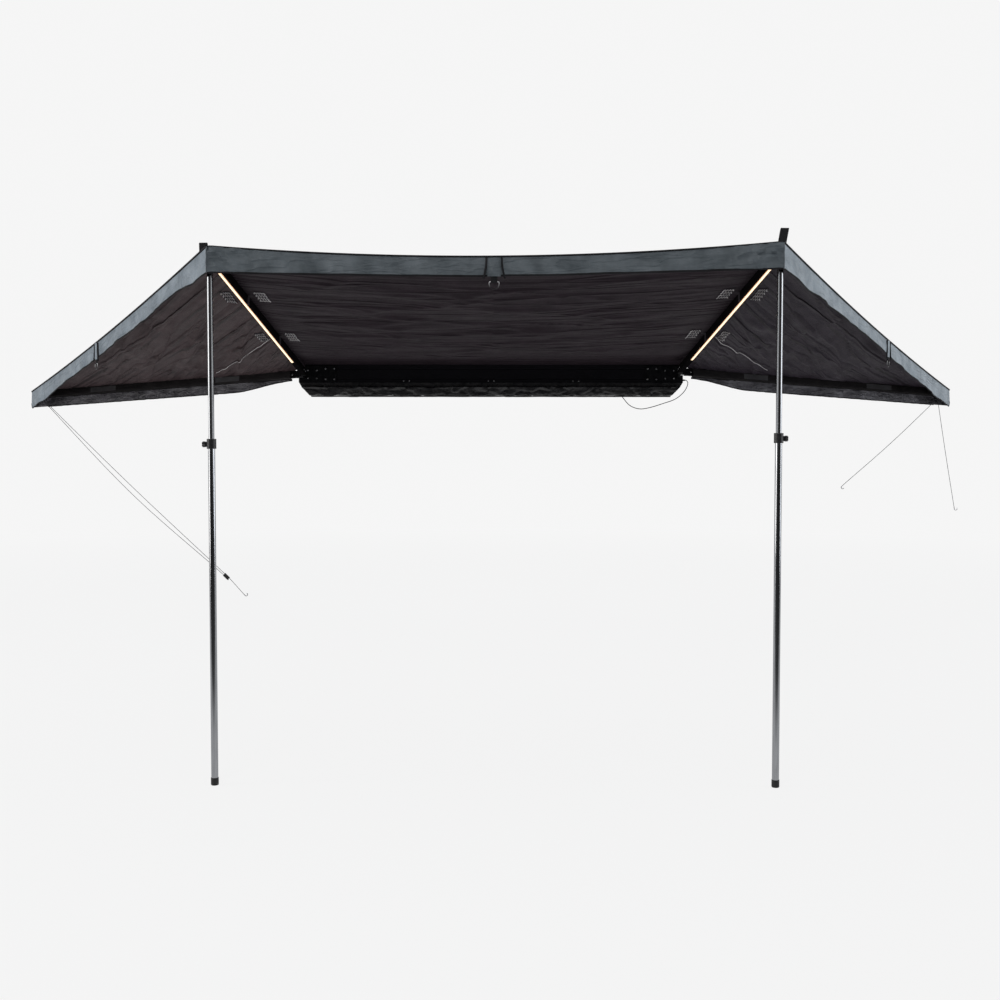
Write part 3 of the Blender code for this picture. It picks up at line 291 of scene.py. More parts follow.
# Side valance tones, left and right: painted light and shade of one cloth.
SIDE_PAINTED_LIGHT_TONES = {
    "left": ((0.09, 0.114, 0.138), (0.205, 0.24, 0.275)),
    "right": ((0.165, 0.196, 0.222), (0.325, 0.365, 0.4)),
}
SIDE_VALANCES_PAINTED_LIGHT = {
    side: cloth_look(f"side_valance_{side}_cloth", *painted_light_tones, 0.46, 0.8, 0.2, SIDE_FOLDS)
    for side, painted_light_tones in SIDE_PAINTED_LIGHT_TONES.items()
}
BINDING = cloth_look("binding_tape", (0.006, 0.006, 0.007), (0.013, 0.013, 0.015), 0.7)
SLEEVE = cloth_look("sleeve_cloth", (0.008, 0.007, 0.0075), (0.015, 0.013, 0.0135), 0.62, 0.45)
SKIRT = cloth_look("skirt_cloth", (0.034, 0.032, 0.037), (0.17, 0.164, 0.18), 0.38, 1.0, 0.35, SKIRT_FOLDS)
WEBBING = cloth_look("webbing", (0.006, 0.006, 0.007), (0.014, 0.014, 0.015), 0.75)
PATCH = cloth_look("strap_patch", (0.02, 0.016, 0.019), (0.034, 0.029, 0.033), 0.72, 0.3, 0.05)
SLEEVE_PATCH = cloth_look("sleeve_patch", (0.038, 0.036, 0.038), (0.062, 0.06, 0.063), 0.7, 0.4, 0.05)
THREAD = plastic_look("stitch_thread", (0.42, 0.4, 0.4), (0.66, 0.63, 0.63), 0.6, specular=0.1)


def bag_look():
    look = Look("bag_cover", (0.01, 0.01, 0.011), 0.34)
    look.colours(look.noise(30.0, 5.0), (0.011, 0.011, 0.012), (0.027, 0.026, 0.027))
    look.rough(look.noise(55.0, 4.0), 0.18, 0.4)
    look.bump(look.noise(26.0, 6.0, (0.7, 1.0, 1.6), rough=0.62), 0.85, 0.006)
    look.bump(look.noise(420.0, 2.0), 0.15, 0.0003)
    look.shade({"Specular IOR Level": 0.35})
    return look.mat


def ring_look_painted_light():
    """Plated wire, painted lighter towards the bar and darker towards the lower bow: a painted highlight
    above and painted shade below.
    """
    look = Look("ring_wire", (0.3, 0.3, 0.3), 0.3, 0.8)
    height = look.axis(look.where["Generated"], "Z")
    # the colour runs with height up the ring: painted highlight at the bar, painted shade towards the lower
    # bow
    look.colours(height, (0.012, 0.012, 0.013), (0.4, 0.4, 0.41), 0.25, 0.9)
    look.rough(look.noise(90.0, 3.0), 0.24, 0.42)
    return look.mat


def cord_look():
    look = Look("braided_cord", (0.05, 0.05, 0.055), 0.75)
    look.colours(look.noise(900.0, 2.0), (0.03, 0.03, 0.034), (0.085, 0.085, 0.092))
    look.bump(look.noise(1400.0, 2.0), 0.5, 0.0006)
    return look.mat


def glow_look(name, colour, strength):
    look = Look(name, (0.9, 0.8, 0.65), 0.4)
    warm = look.ramp(look.noise(160.0, 2.0), tuple(c * 0.96 for c in colour), colour)
    look.shade({"Emission Color": warm, "Emission Strength": strength})
    return look.mat


BAG = bag_look()
ALONG_X, ALONG_Z = (0.2, 6, 6), (6, 6, 0.3)
PLATE = metal_look(
    "plate_anodised", (0.004, 0.0036, 0.0048), (0.0062, 0.0058, 0.0074), 0.5, 0.0, ALONG_X, 0.05
)
ARM_METAL = metal_look(
    "arm_anodised", (0.0035, 0.003, 0.0035), (0.0065, 0.006, 0.0062), 0.55, 0.0, specular=0.0
)
POLE = metal_look("pole_gloss", (0.24, 0.246, 0.258), (0.3, 0.308, 0.322), 0.13, 1.0, ALONG_Z)
STEEL = metal_look("black_steel", (0.003, 0.003, 0.0038), (0.0065, 0.0065, 0.0072), 0.5, 0.0, specular=0.03)
ZINC = metal_look("zinc_steel", (0.26, 0.26, 0.27), (0.44, 0.44, 0.45), 0.28, 1.0)
PLASTIC = plastic_look("black_plastic", (0.006, 0.006, 0.007), (0.012, 0.012, 0.013), 0.35, 0.12, 0.4)
RUBBER = plastic_look("rubber", (0.006, 0.006, 0.007), (0.011, 0.011, 0.011), 0.6, 0.25)
JACKET = plastic_look("cable_jacket", (0.006, 0.006, 0.007), (0.011, 0.011, 0.012), 0.5)
RING = ring_look_painted_light()
CORD = cord_look()
DIFFUSER = glow_look("light_diffuser", (1.0, 0.84, 0.46), 1.05)
# The light's housing sides and ends glow orange: a painted glow for the fringe of light round the strip, not
# a lamp of their own.
PAINTED_GLOW_EDGE = glow_look("painted_glow_edge", (1.0, 0.34, 0.06), 0.42)


# Mesh helpers


def add_object(name, data):
    obj = bpy.data.objects.new(name, data)
    bpy.context.scene.collection.objects.link(obj)
    return obj


def new_object(name, bm, *looks, smooth=True):
    mesh = bpy.data.meshes.new(name)
    bmesh.ops.recalc_face_normals(bm, faces=bm.faces)
    bm.to_mesh(mesh)
    bm.free()
    if smooth:
        mesh.shade_smooth()
        mesh.set_sharp_from_angle(angle=radians(50))
    for look in looks:
        mesh.materials.append(look)
    return add_object(name, mesh)


def attach(obj, body, slot=None, *nodes):
    """Rides on the body and hides the CAD nodes that it replaces; slot is not used."""
    if nodes:
        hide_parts(*nodes)
    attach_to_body(obj, body)


def even(count):
    return [i / (count - 1) for i in range(count)]


def between(start, end, count):
    return [start + (end - start) * t for t in even(count)]


def ease(t):
    return t * t * (3 - 2 * t)


def add_face(bm, uv, verts, spots, index=0):
    made = bm.faces.new(verts)
    made.material_index = index
    for loop, spot in zip(made.loops, spots):
        loop[uv].uv = spot


def sheet_object(name, point, us, vs, outward, outside, inside, thickness=SHEET_T):
    """A closed thin shell on the surface point(u, v): outside faces the way outward points."""
    rows = [[Vector(point(u, v)) for v in vs] for u in us]
    nu, nv = len(us), len(vs)

    def normal(i, j):
        a = rows[min(i + 1, nu - 1)][j] - rows[max(i - 1, 0)][j]
        b = rows[i][min(j + 1, nv - 1)] - rows[i][max(j - 1, 0)]
        n = a.cross(b)
        n.normalize()
        return n if n.dot(outward) > 0 else -n

    bm = bmesh.new()
    uv = bm.loops.layers.uv.new("UVMap")
    low = [[bm.verts.new(rows[i][j]) for j in range(nv)] for i in range(nu)]
    high = [[bm.verts.new(rows[i][j] + normal(i, j) * thickness) for j in range(nv)] for i in range(nu)]
    du = sum((rows[i + 1][nv // 2] - rows[i][nv // 2]).length for i in range(nu - 1))
    dv = sum((rows[nu // 2][j + 1] - rows[nu // 2][j]).length for j in range(nv - 1))
    spot = {}
    for layer in (low, high):
        for u, line in zip(us, layer):
            spot.update((vert, (u * du, v * dv)) for v, vert in zip(vs, line))

    def face(verts, index):
        add_face(bm, uv, verts, [spot[v] for v in verts], index)

    for i in range(nu - 1):
        for j in range(nv - 1):
            face((high[i][j], high[i + 1][j], high[i + 1][j + 1], high[i][j + 1]), 0)
            face((low[i][j], low[i][j + 1], low[i + 1][j + 1], low[i + 1][j]), 1)
    for i in range(nu - 1):
        for j in (0, -1):
            face((low[i][j], low[i + 1][j], high[i + 1][j], high[i][j]), 0)
    for j in range(nv - 1):
        for i in (0, -1):
            face((low[i][j], high[i][j], high[i][j + 1], low[i][j + 1]), 0)
    return new_object(name, bm, outside, inside)


def add_sides(bm, rings):
    """Joins each closed ring of vertices to the next; a ring may be a single vertex."""
    faces = []
    for one, two in zip(rings, rings[1:]):
        for k in range(max(len(one), len(two))):
            quad = [ring[i % len(ring)] for ring, i in ((one, k), (one, k + 1), (two, k + 1), (two, k))]
            faces.append(bm.faces.new(dict.fromkeys(quad)))
    return faces


def add_tube(bm, points, radius, sides=8, flat=1.0, side_way=None):
    """Adds a capped tube along points; flat squeezes it along the second direction."""
    points = [Vector(p) for p in points]
    rings = []
    last = side_way
    for i, p in enumerate(points):
        along = (points[min(i + 1, len(points) - 1)] - points[max(i - 1, 0)]).normalized()
        if last is None:
            last = along.cross(UP)
            if last.length < 0.01:
                last = along.cross(Vector((0, 1, 0)))
        first = (last - along * last.dot(along)).normalized()
        last = first
        second = along.cross(first)
        turns = [2 * pi * k / sides for k in range(sides)]
        ring = [p + first * radius * cos(t) + second * radius * flat * sin(t) for t in turns]
        rings.append([bm.verts.new(place) for place in ring])
    add_sides(bm, rings)
    bm.faces.new(rings[0])
    bm.faces.new(list(reversed(rings[-1])))


def tube_object(name, points, radius, look, **options):
    bm = bmesh.new()
    add_tube(bm, points, radius, **options)
    return new_object(name, bm, look)


def add_box(bm, low, high, matrix, bevel):
    made = bmesh.ops.create_cube(bm, size=1)["verts"]
    for v in made:
        v.co = Vector((low[i] + (high[i] - low[i]) * (v.co[i] + 0.5) for i in range(3)))
    edges = list({e for v in made for e in v.link_edges})
    rounded = bmesh.ops.bevel(bm, geom=edges, offset=bevel, segments=2, affect="EDGES", profile=0.6)
    made = list({v for f in rounded["faces"] for v in f.verts} | {v for v in made if v.is_valid})
    bmesh.ops.transform(bm, matrix=matrix, verts=made)


def circle(radius, z, sides):
    """Places round the local Z axis; radius 0 gives the one on it."""
    if radius == 0:
        return [Vector((0, 0, z))]
    turns = [2 * pi * k / sides for k in range(sides)]
    return [Vector((radius * cos(t), radius * sin(t), z)) for t in turns]


def add_lathe(bm, profile, matrix, sides=20):
    """Turns (radius, height) pairs round the local Z axis; radius 0 closes an end."""
    add_sides(bm, [[bm.verts.new(matrix @ place) for place in circle(r, z, sides)] for r, z in profile])


def add_bolt(bm, at, direction, radius, height):
    """Button head with a washer under it and a six-sided socket."""
    m = Matrix.Translation(at) @ direction.to_track_quat("Z", "Y").to_matrix().to_4x4()
    washer = radius * 1.35
    socket = radius * 0.48
    profile = [(0, 0), (washer, 0), (washer, 0.0007), (radius, 0.0009), (radius, 0.0014)]
    profile += [(radius * 0.86, height * 0.82), (radius * 0.62, height), (socket, height)]
    add_lathe(bm, profile, m, 18)
    top, low = ([bm.verts.new(m @ p) for p in circle(socket, height * share, 6)] for share in (0.96, 0.35))
    add_sides(bm, (top, low))
    bm.faces.new(low)


def fractal(x, y, z=0.0):
    return noise.fractal(Vector((x, y, z)), 1.0, 2.0, 3)


def ridge(value, sharp=2.0):
    """Soft-sided crease: 1 on the line where value is 0, falling off both ways."""
    return exp(-((value * sharp) ** 2))


# The roof


def seam_rise(s):
    return ROOT_RISE * ease(max(0.0, 1 - s / RISE_RUN))


def roof_point(side, s, lateral=0.0):
    local = Vector((s, SIGN[side] * (FRONT_OFFSET + lateral), CLOTH_N + seam_rise(s)))
    return ROOF_BACK @ ARM[side, "front"] @ local


def centre_surface(u, v):
    """Centre panel's underside in world axes: u from left to right, v from the plate outwards."""
    s = ROOT_START + v * (CORNER_S - ROOT_START)
    point = roof_point("left", s, GAP).lerp(roof_point("right", s, GAP), u)
    across = 2 * u - 1
    hang = max(0.0, 1 - (across / (1 - 2 * SEAM_SHARE)) ** 2)
    root = 1 / 20
    if v < root:
        # the first stretch runs straight from the keder groove on the plate's top
        near = PLATE_BACK_Y - PLATE_DEPTH / 2
        ends = [roof_point(side, -PIN_Q[side] - PLATE_DEPTH / 2, GAP) for side in SIDES]
        top = Vector((ends[0].lerp(ends[1], u).x, near, up(PLATE_BOTTOM + PLATE_TALL) + GAP))
        return top.lerp(centre_surface(u, root), v / root)
    point.y += FRONT_BOW * hang * v * v
    belly = ROOF_SAG * sin(pi * min(1, v * 1.05)) if v < 0.95 else 0
    point.z -= hang * (belly + FRONT_DIP * v**4)
    x, y = point.x, point.y
    body = sin(pi * v) ** 0.7 * hang ** 0.6
    long_folds = fractal(x * 0.55 + y * 0.25, y * 2.6 - x * 0.35, 3.1)
    creases = ridge(fractal(x * 0.8 - y * 0.3, y * 3.4 + x * 0.5, 8.7), 9.0)
    fine = ridge(fractal(x * 0.6 + y * 0.2 + 5, y * 4.6 - x * 0.9, 14.3), 14.0)
    drag = ridge(sin(6.5 * y + 1.1 * x + 0.4), 2.6)
    point.z -= body * (0.004 + 0.026 * max(0.0, long_folds) + 0.011 * creases + 0.006 * fine + 0.006 * drag)
    return ROOF @ point


def wing_lines(side, start, end_front, end_side):
    """Two places on the side's seams, over the front arm and over the side arm."""
    s = SIGN[side]
    front = ARM[side, "front"] @ Vector((start or end_front, s * (FRONT_OFFSET - GAP), CLOTH_N))
    back = ARM[side, "side"] @ Vector((start or end_side, -s * (SIDE_OFFSET + SIDE_WIDE / 2), CLOTH_N))
    return ROOF_BACK @ front, ROOF_BACK @ back


WING_ENDS = {side: wing_lines(side, None, CORNER_S, TIP_S) for side in SIDES}
WING_ROOT = {side: wing_lines(side, WING_START, None, None) for side in SIDES}


def wing_local(side, u, v, folds=True):
    front, tip = WING_ENDS[side]
    root_front, root_back = WING_ROOT[side]
    chord = tip - front
    inward = Vector((chord.y, -chord.x, 0)).normalized()
    if inward.dot(pin_point(side) - front) < 0:
        inward = -inward
    outer = front.lerp(tip, u) + inward * WING_BOW * 4 * u * (1 - u)
    place = root_front.lerp(root_back, u).lerp(outer, v)
    away = (place - pin_point(side)).to_2d().length
    hang = max(0.0, 1 - (abs(2 * u - 1) / (1 - 2 * WING_SEAM_SHARE)) ** 2)
    place.z += seam_rise(away) * (1 - u) - WING_SAG * hang * sin(pi * v) * v * v
    if folds:
        # creases run along the outer edge's own direction and fan from the front corner
        rel = place - front
        a, b = rel.dot(chord.normalized()), rel.dot(inward)
        s = SIGN[side]
        fan = b - 0.2 * a
        body = (hang ** 0.6) * sin(pi * v) ** 0.6
        broad = fractal(a * 0.55, fan * 3.2, 5.0 + s)
        creases = ridge(fractal(a * 0.7 + 2, fan * 5.0, 11.0 + s), 8.0)
        fine = ridge(fractal(a * 0.5 + 7, fan * 8.0, 23.0 + s), 12.0)
        place.z -= body * (0.004 + 0.04 * max(0.0, broad) + 0.02 * creases + 0.011 * fine)
    return place


def wing_edge(side, u):
    place = wing_local(side, u, 1.0, folds=False)
    place.z += CLOTH_T
    return ROOF @ place


def outward_of(side):
    front, tip = WING_ENDS[side]
    outward = UP.cross((ROOF.to_3x3() @ (tip - front)).normalized())
    if outward.x * SIGN[side] > 0:
        outward = -outward
    return outward.normalized()


OUTWARD = {side: outward_of(side) for side in SIDES}


def polar(side, u):
    """Angle of the wing's outer edge at u, from the front arm."""
    local = ARM[side, "front"].inverted() @ wing_edge(side, u)
    return abs(degrees(atan2(local.y, local.x)))


def share_at(side, degrees):
    low, high = 0.0, 1.0
    for _ in range(40):
        middle = (low + high) / 2
        if polar(side, middle) < degrees:
            low = middle
        else:
            high = middle
    return low


def ray(side, degrees):
    """Direction in the roof plane at that angle from the front arm, and the one square to it."""
    turn = Matrix.Rotation(radians(-SIGN[side] * degrees), 3, "Z")
    along = ARM[side, "front"].to_3x3() @ (turn @ Vector((1, 0, 0)))
    return along, ROOF_N.cross(along)


def gores_of(side):
    """Each wing's parts: name, body, angle of its ray, and its shares of the outer edge."""
    tab, full = polar(side, TAB_SHARE), polar(side, 1.0)
    one, two = share_at(side, tab / 2), share_at(side, (tab + full) / 2)
    return (
        ("front", f"front_arm_{side}", 0.0, 0.0, one),
        ("middle", f"wing_edge_{side}", tab, one, two),
        ("back", f"side_arm_{side}", full, two, 1.0),
    )


GORES = {side: gores_of(side) for side in SIDES}
PIN_WORLD = {side: ROOF @ pin_point(side) for side in SIDES}
ANCHOR = Vector((0, PLATE_BACK_Y - PLATE_DEPTH / 2, up(PLATE_BOTTOM + PLATE_TALL)))


def gather(obj, side, body, degrees):
    """Rides on the body, with a mesh of its own."""
    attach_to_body(obj, body)
    _, square = ray(side, degrees)
    tuple(square)
    tuple(PIN_WORLD[side])
    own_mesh(obj)


def declare_sheet(obj, flat, rests_on, slot=None, *nodes):
    if slot:
        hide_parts(*nodes)


def declare_gore(obj, side, degrees):
    """Flat size of a gore from its reach along its own ray and square to it."""
    along, square = ray(side, degrees)
    spans = []
    for way in (square, along):
        reach = [v.co.dot(way) for v in obj.data.vertices]
        spans.append(max(reach) - min(reach) + 0.02)
    rests_on = [f"front_arm_{side}", f"side_arm_{side}"]
    declare_sheet(obj, tuple(spans), rests_on, "roof_cloth", f"roof_wing_{side}")


def front_top(u):
    return ROOF @ ((ROOF_BACK @ centre_surface(u, 1.0)) + Vector((0, -HEM_OUT, CLOTH_T)))


HEM_REACH = -(front_top(0.5) - ANCHOR).dot(DOWN_SLOPE)


def gather_centre(obj, side):
    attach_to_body(obj, "mounting")
    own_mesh(obj)


def build_gusset(side):
    """Strip that closes the cloth's raised edge down to the front arm, next to the plate."""
    m = ARM[side, "front"]
    s = SIGN[side]

    def point(u, v):
        along = 0.02 + (RISE_RUN - 0.02) * u
        rise = max(0.0008, seam_rise(along) - 0.001)
        lateral = FRONT_OFFSET + 0.006 * sin(pi * v) * (1 - u)
        return m @ Vector((along, s * lateral, CLOTH_N + rise * (1 - v)))

    away = m.to_3x3() @ Vector((0, -s, 0))
    name = f"roof_gusset_{side}"
    # the gusset's outside is its side's wing cloth, with that side's painted light and shade
    obj = sheet_object(name, point, even(60), even(8), away, WING_UNDERSIDES_PAINTED_LIGHT[side], UNDERSIDE)
    declare_sheet(obj, (0.46, 0.05), ["front_arm_" + side])
    attach(obj, f"front_arm_{side}", "roof_cloth")


def build_hub_flap(side):
    """The roof's root, sewn to the plate over the hub."""
    s = SIGN[side]

    def point(u, v):
        x = -s * (PIN_X - 0.05 + 0.105 * u)
        q = -PLATE_DEPTH / 2 + (PIN_Q[side] + 0.115 + PLATE_DEPTH / 2) * v
        lift = 0.0045 - 0.01 * u * v + 0.0015 * fractal(x * 30, q * 30, 2.0)
        return ROOF @ Vector((x, -q, CLOTH_N + ROOT_RISE + lift))

    obj = sheet_object(f"roof_hub_flap_{side}", point, even(12), even(24), ROOF_N, OUTSIDE, UNDERSIDE)
    declare_sheet(obj, (0.12, PIN_Q[side] + 0.16), ["backing_plate"])
    attach(obj, "mounting", "roof_cloth")


def build_roof():
    for side, (low, high) in HALVES.items():
        us, vs = between(low, high, 110), even(240)
        obj = sheet_object(f"roof_panel_{side}", centre_surface, us, vs, ROOF_N, OUTSIDE, UNDERSIDE)
        declare_sheet(obj, (1.22, 2.36), [f"front_arm_{side}", "backing_plate"], "roof_cloth", "roof_centre")
        gather_centre(obj, side)
        build_gusset(side)
        build_hub_flap(side)
    for side in SIDES:
        for word, body, degrees, low, high in GORES[side]:
            us = between(low, high, max(14, round((high - low) * 110)))
            # each side's underside cloth carries that side's painted light and shade
            name, under = f"wing_{side}_{word}", WING_UNDERSIDES_PAINTED_LIGHT[side]
            obj = sheet_object(
                name, lambda u, v: ROOF @ wing_local(side, u, v), us, even(130), ROOF_N, OUTSIDE, under
            )
            declare_gore(obj, side, degrees)
            gather(obj, side, body, degrees)


# Valances


def front_valance_point(u, v):
    """v from the roof's edge down; the lower part swings a little in soft folds."""
    top = front_top(u)
    x = top.x
    corner = max(0.0, (abs(2 * u - 1) - 0.7) / 0.3)
    wave = fractal(x * 3.0, v * 0.6, 2.0) * 0.012 + fractal(x * 9.0, v * 1.5, 6.0) * 0.005
    lean = x + 0.1 * v * (1 if u > 0.5 else -1)
    crumple = fractal(lean * 11.0, v * 2.0, 21.0) + 1.2 * ridge(fractal(lean * 7.0, v * 1.6, 17.0), 6.0)
    middle = sin(pi * min(1.0, v * 0.9 + 0.1))
    depth = VALANCE_MID + (VALANCE_TALL - VALANCE_MID) * abs(2 * u - 1) ** 2.5
    top.y -= max(0.0, 0.004 * v + wave * v) + max(0.0, 0.018 * corner * crumple * middle)
    top.z -= depth * v + 0.0015 * fractal(x * 5.0, 0.0, 9.0) * v
    return top


# (share of the outer edge, depth) along each side valance
SIDE_DEPTHS = {
    "left": (
        (0.0, 0.107), (0.05, 0.104), (0.14, 0.074), (0.27, 0.084),
        (0.55, 0.082), (0.8, 0.09), (0.93, 0.104), (1.0, 0.107),
    ),
    "right": (
        (0.0, 0.107), (0.06, 0.102), (0.18, 0.088), (0.45, 0.07),
        (0.6, 0.084), (0.8, 0.092), (0.93, 0.102), (1.0, 0.107),
    ),
}
SIDE_WAVE = {"left": 0.022, "right": 0.012}
EDGE_LONG = 3.2
TIP_ROUND = 0.01  # share of the edge over which the bottom corner at the tip is rounded
TIP_EXTRA = (0.02, 0.06, 0.15, 0.3, 0.7, 0.9)


def side_depth(side, u):
    table = SIDE_DEPTHS[side]
    (a, low), (b, high) = next(pair for pair in zip(table, table[1:]) if u <= pair[1][0])
    depth = low + (high - low) * ease((u - a) / (b - a))
    wave = 0.006 * fractal(u * 5.0, 0.0, 31.0 + SIGN[side]) * min(1.0, u * 12, (1 - u) * 12)
    past = max(0.0, (u - 1 + TIP_ROUND) / TIP_ROUND)
    return min(VALANCE_TALL, depth + wave) - 0.034 * (1 - sqrt(1 - past * past))


def side_valance_point(side, u, v):
    run, s = EDGE_LONG * u, SIGN[side]
    wave = fractal(run * 2.2, v * 0.6, 4.0 + s) * SIDE_WAVE[side]
    wave += fractal(run * 7.0, v * 1.5, 14.0 + s) * 0.006
    ends = min(1.0, u * 25, (1 - u) * 25)
    out = HEM_OUT + max(0.0, (0.003 + wave * ends) * v)
    return wing_edge(side, u) + OUTWARD[side] * out - UP * side_depth(side, u) * v


def edge_tubes(words, tops, lows, top_radius):
    """Piping along a valance's top and a flat binding along its hem."""
    piping = tube_object(words[0], tops, top_radius, BINDING)
    return piping, tube_object(words[1], lows, BINDING_R, BINDING, side_way=UP, flat=0.5)


def build_valances():
    outward = Vector((0, -1, 0))
    for side, (low, high) in HALVES.items():
        us = between(low, high, 150)
        obj = sheet_object(
            f"front_valance_{side}", front_valance_point, us, even(10), outward, VALANCE, UNDERSIDE
        )
        declare_sheet(obj, (1.24, VALANCE_FLAT), [f"roof_panel_{side}"], "skirt_cloth", "front_valance")
        gather_centre(obj, side)
        tops = [front_top(u) + Vector((0, -0.0005, 0.001)) for u in us]
        lows = [front_valance_point(u, 1.0) + Vector((0, -0.0003, 0)) for u in us]
        for tube in edge_tubes((f"front_piping_{side}", f"front_hem_{side}"), tops, lows, PIPING_R):
            gather_centre(tube, side)
    for side in SIDES:
        for word, body, degrees, low, high in GORES[side]:
            us = between(low, high, max(16, round((high - low) * 200)))
            if high == 1.0:
                us = sorted(us + [1 - TIP_ROUND * share for share in TIP_EXTRA])
            # each side's valance cloth carries that side's painted light and shade
            name, look = f"side_valance_{side}_{word}", SIDE_VALANCES_PAINTED_LIGHT[side]
            obj = sheet_object(
                name, lambda u, v: side_valance_point(side, u, v), us, even(9), OUTWARD[side], look, UNDERSIDE
            )
            flat = (3.3 * (high - low) + 0.02, VALANCE_FLAT)
            declare_sheet(obj, flat, [f"wing_{side}_{word}"], "skirt_cloth", f"side_valance_{side}")
            gather(obj, side, body, degrees)
            tops = [wing_edge(side, u) + UP * 0.001 for u in us]
            lows = [side_valance_point(side, u, 1.0) for u in us]
            words = (f"side_piping_{side}_{word}", f"side_hem_{side}_{word}")
            for tube in edge_tubes(words, tops, lows, SIDE_PIPING_R):
                gather(tube, side, body, degrees)
        # seam tape down the corner, where the front and side valances meet
        end = 0.0 if side == "left" else 1.0
        corner = [side_valance_point(side, 0.0, v).lerp(front_valance_point(end, v), 0.5) for v in even(6)]
        attach(tube_object(f"corner_seam_{side}", corner, 0.0032, VALANCE), f"front_arm_{side}")


# Arms

SLEEVE_FROM, SLEEVE_TO = 0.075, 1.77
SLEEVE_HALF = SIDE_WIDE / 2 + 0.0014
SLEEVE_TALL = ARM_TALL / 2
SKIRT_DROP = 0.079
SKIRT_TAPER = 0.4
PATCH_PLACES = ((0.41, 0.57), (1.26, 1.44))  # along each side arm


def sleeve_section(skirt, wave):
    """Sleeve and skirt as (lateral from the tube's middle, height) pairs, front top to skirt's hem."""
    half, tall = SLEEVE_HALF, SLEEVE_TALL
    points = [(half, tall - 0.002), (half + 0.001, tall * 0.3), (half + 0.0015, -tall * 0.6)]
    points += [(half, -tall - 0.001), (half * 0.3, -tall - 0.003), (-half * 0.4, -tall - 0.002)]
    points.append((-half, -tall - 0.004))
    for t in (0.25, 0.5, 0.75, 1.0):
        points.append((-half - 0.001 + wave * t, -tall - 0.004 - (skirt - tall - 0.004) * t))
    return points


def build_sleeve(side):
    s = SIGN[side]
    m = ARM[side, "side"]
    body = f"side_arm_{side}"

    def broad_wave(along):
        return 0.004 * fractal(along * 9.0, 1.0, 3.0 + s)

    def point(u, v):
        along = SLEEVE_FROM + (SLEEVE_TO - SLEEVE_FROM) * u
        wave = broad_wave(along) + 0.0025 * fractal(along * 26.0, 2.0, 5.0)
        taper = ease(min(1.0, (along - SLEEVE_FROM) / SKIRT_TAPER))
        hang = SLEEVE_TALL + 0.012 + (SKIRT_DROP - SLEEVE_TALL - 0.012) * taper
        section = sleeve_section(hang, max(-0.002, wave))
        k = v * (len(section) - 1)
        i = min(len(section) - 2, int(k))
        lateral, z = Vector(section[i]).lerp(Vector(section[i + 1]), k - i)
        pucker = 0.0015 * fractal(along * 30.0, v * 6.0, 7.0)
        return m @ Vector((along, s * (lateral + pucker - SIDE_OFFSET), z + pucker * 0.6))

    def tip_point(u, v):
        along = SLEEVE_TO - 0.004 + (TIP_S - SLEEVE_TO - 0.006) * u
        z = CLOTH_N - 0.001 - (CLOTH_N - 0.001 + SKIRT_DROP) * v
        return m @ Vector((along, s * (broad_wave(along) * v - SIDE_OFFSET - SLEEVE_HALF - 0.0012), z))

    front_way = m.to_3x3() @ Vector((0, s, -0.4))
    obj = sheet_object(f"side_sleeve_cloth_{side}", point, even(220), even(31), front_way, SLEEVE, SLEEVE)
    back = m.inverted()
    for p in obj.data.polygons:
        if (back @ p.center).z < -SLEEVE_TALL - 0.006:
            p.material_index = 2
    obj.data.materials.append(SKIRT)
    attach(obj, body, "skirt_cloth", f"side_sleeve_{side}")
    hem = [point(u, 1.0) for u in even(120)]
    attach(tube_object(f"side_sleeve_hem_{side}", hem, 0.003, BINDING), body)
    tip = sheet_object(f"side_skirt_tip_{side}", tip_point, even(14), even(14), front_way, SKIRT, SLEEVE)
    declare_sheet(tip, (TIP_S - SLEEVE_TO + 0.01, 0.11), ["side_arm_" + side])
    attach(tip, body, "skirt_cloth")
    patches = bmesh.new()
    y = s * (SLEEVE_HALF + 0.003 - SIDE_OFFSET)
    for low, high in PATCH_PLACES:
        add_box(patches, (low, y - 0.0006, -0.016), (high, y + 0.0006, 0.014), m, 0.0004)
    attach(new_object(f"side_sleeve_patches_{side}", patches, SLEEVE_PATCH, smooth=False), body)


def build_light(side):
    m = ARM[side, "front"]
    back = m.inverted()
    corners = [back @ Vector(v.co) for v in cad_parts[f"led_strip_{side}"].data.vertices]
    ends = (min(c.x for c in corners), max(c.x for c in corners))
    top = max(c.z for c in corners)
    lateral = SIGN[side] * FRONT_OFFSET
    bm = bmesh.new()
    outline = [(-0.0066, 0), (-0.0066, -0.0032), (-0.0042, -0.0034), (-0.0032, -0.0039), (0, -0.0041)]
    outline += [(-x, z) for x, z in reversed(outline[:-1])]
    rings = [[bm.verts.new(m @ Vector((along, lateral + x, top + z))) for x, z in outline] for along in ends]
    # the last side, on the arm, isn't the diffuser either; all sides but the diffuser get a painted orange
    # glow
    after = outline[1:] + outline[:1]
    for k, (made, one, two) in enumerate(zip(add_sides(bm, rings), outline, after)):
        made.material_index = 0 if abs(one[0] + two[0]) < 0.008 and k < len(outline) - 1 else 1
    for ring in rings:
        bm.faces.new(ring).material_index = 1
    obj = new_object(f"light_strip_{side}", bm, DIFFUSER, PAINTED_GLOW_EDGE, smooth=False)
    attach(obj, f"front_arm_{side}", "light_strip", f"led_strip_{side}")


STRAP_AT = (0.79, 1.525)  # along each front arm
STRAP_HALF = 0.018
STRAP_T = 0.0012
PATCH_HALF = 0.085
PATCH_SPANS = {"outer": (-0.088, -0.04), "inner": (0.066, 0.124)}  # sideways from the pin's line
THREAD_R = 0.0021
THREAD_ROWS = 4
SEAM_FROM, SEAM_TO = Vector((0.735, -0.035)), Vector((0.02, -0.5))  # along and sideways, the same way


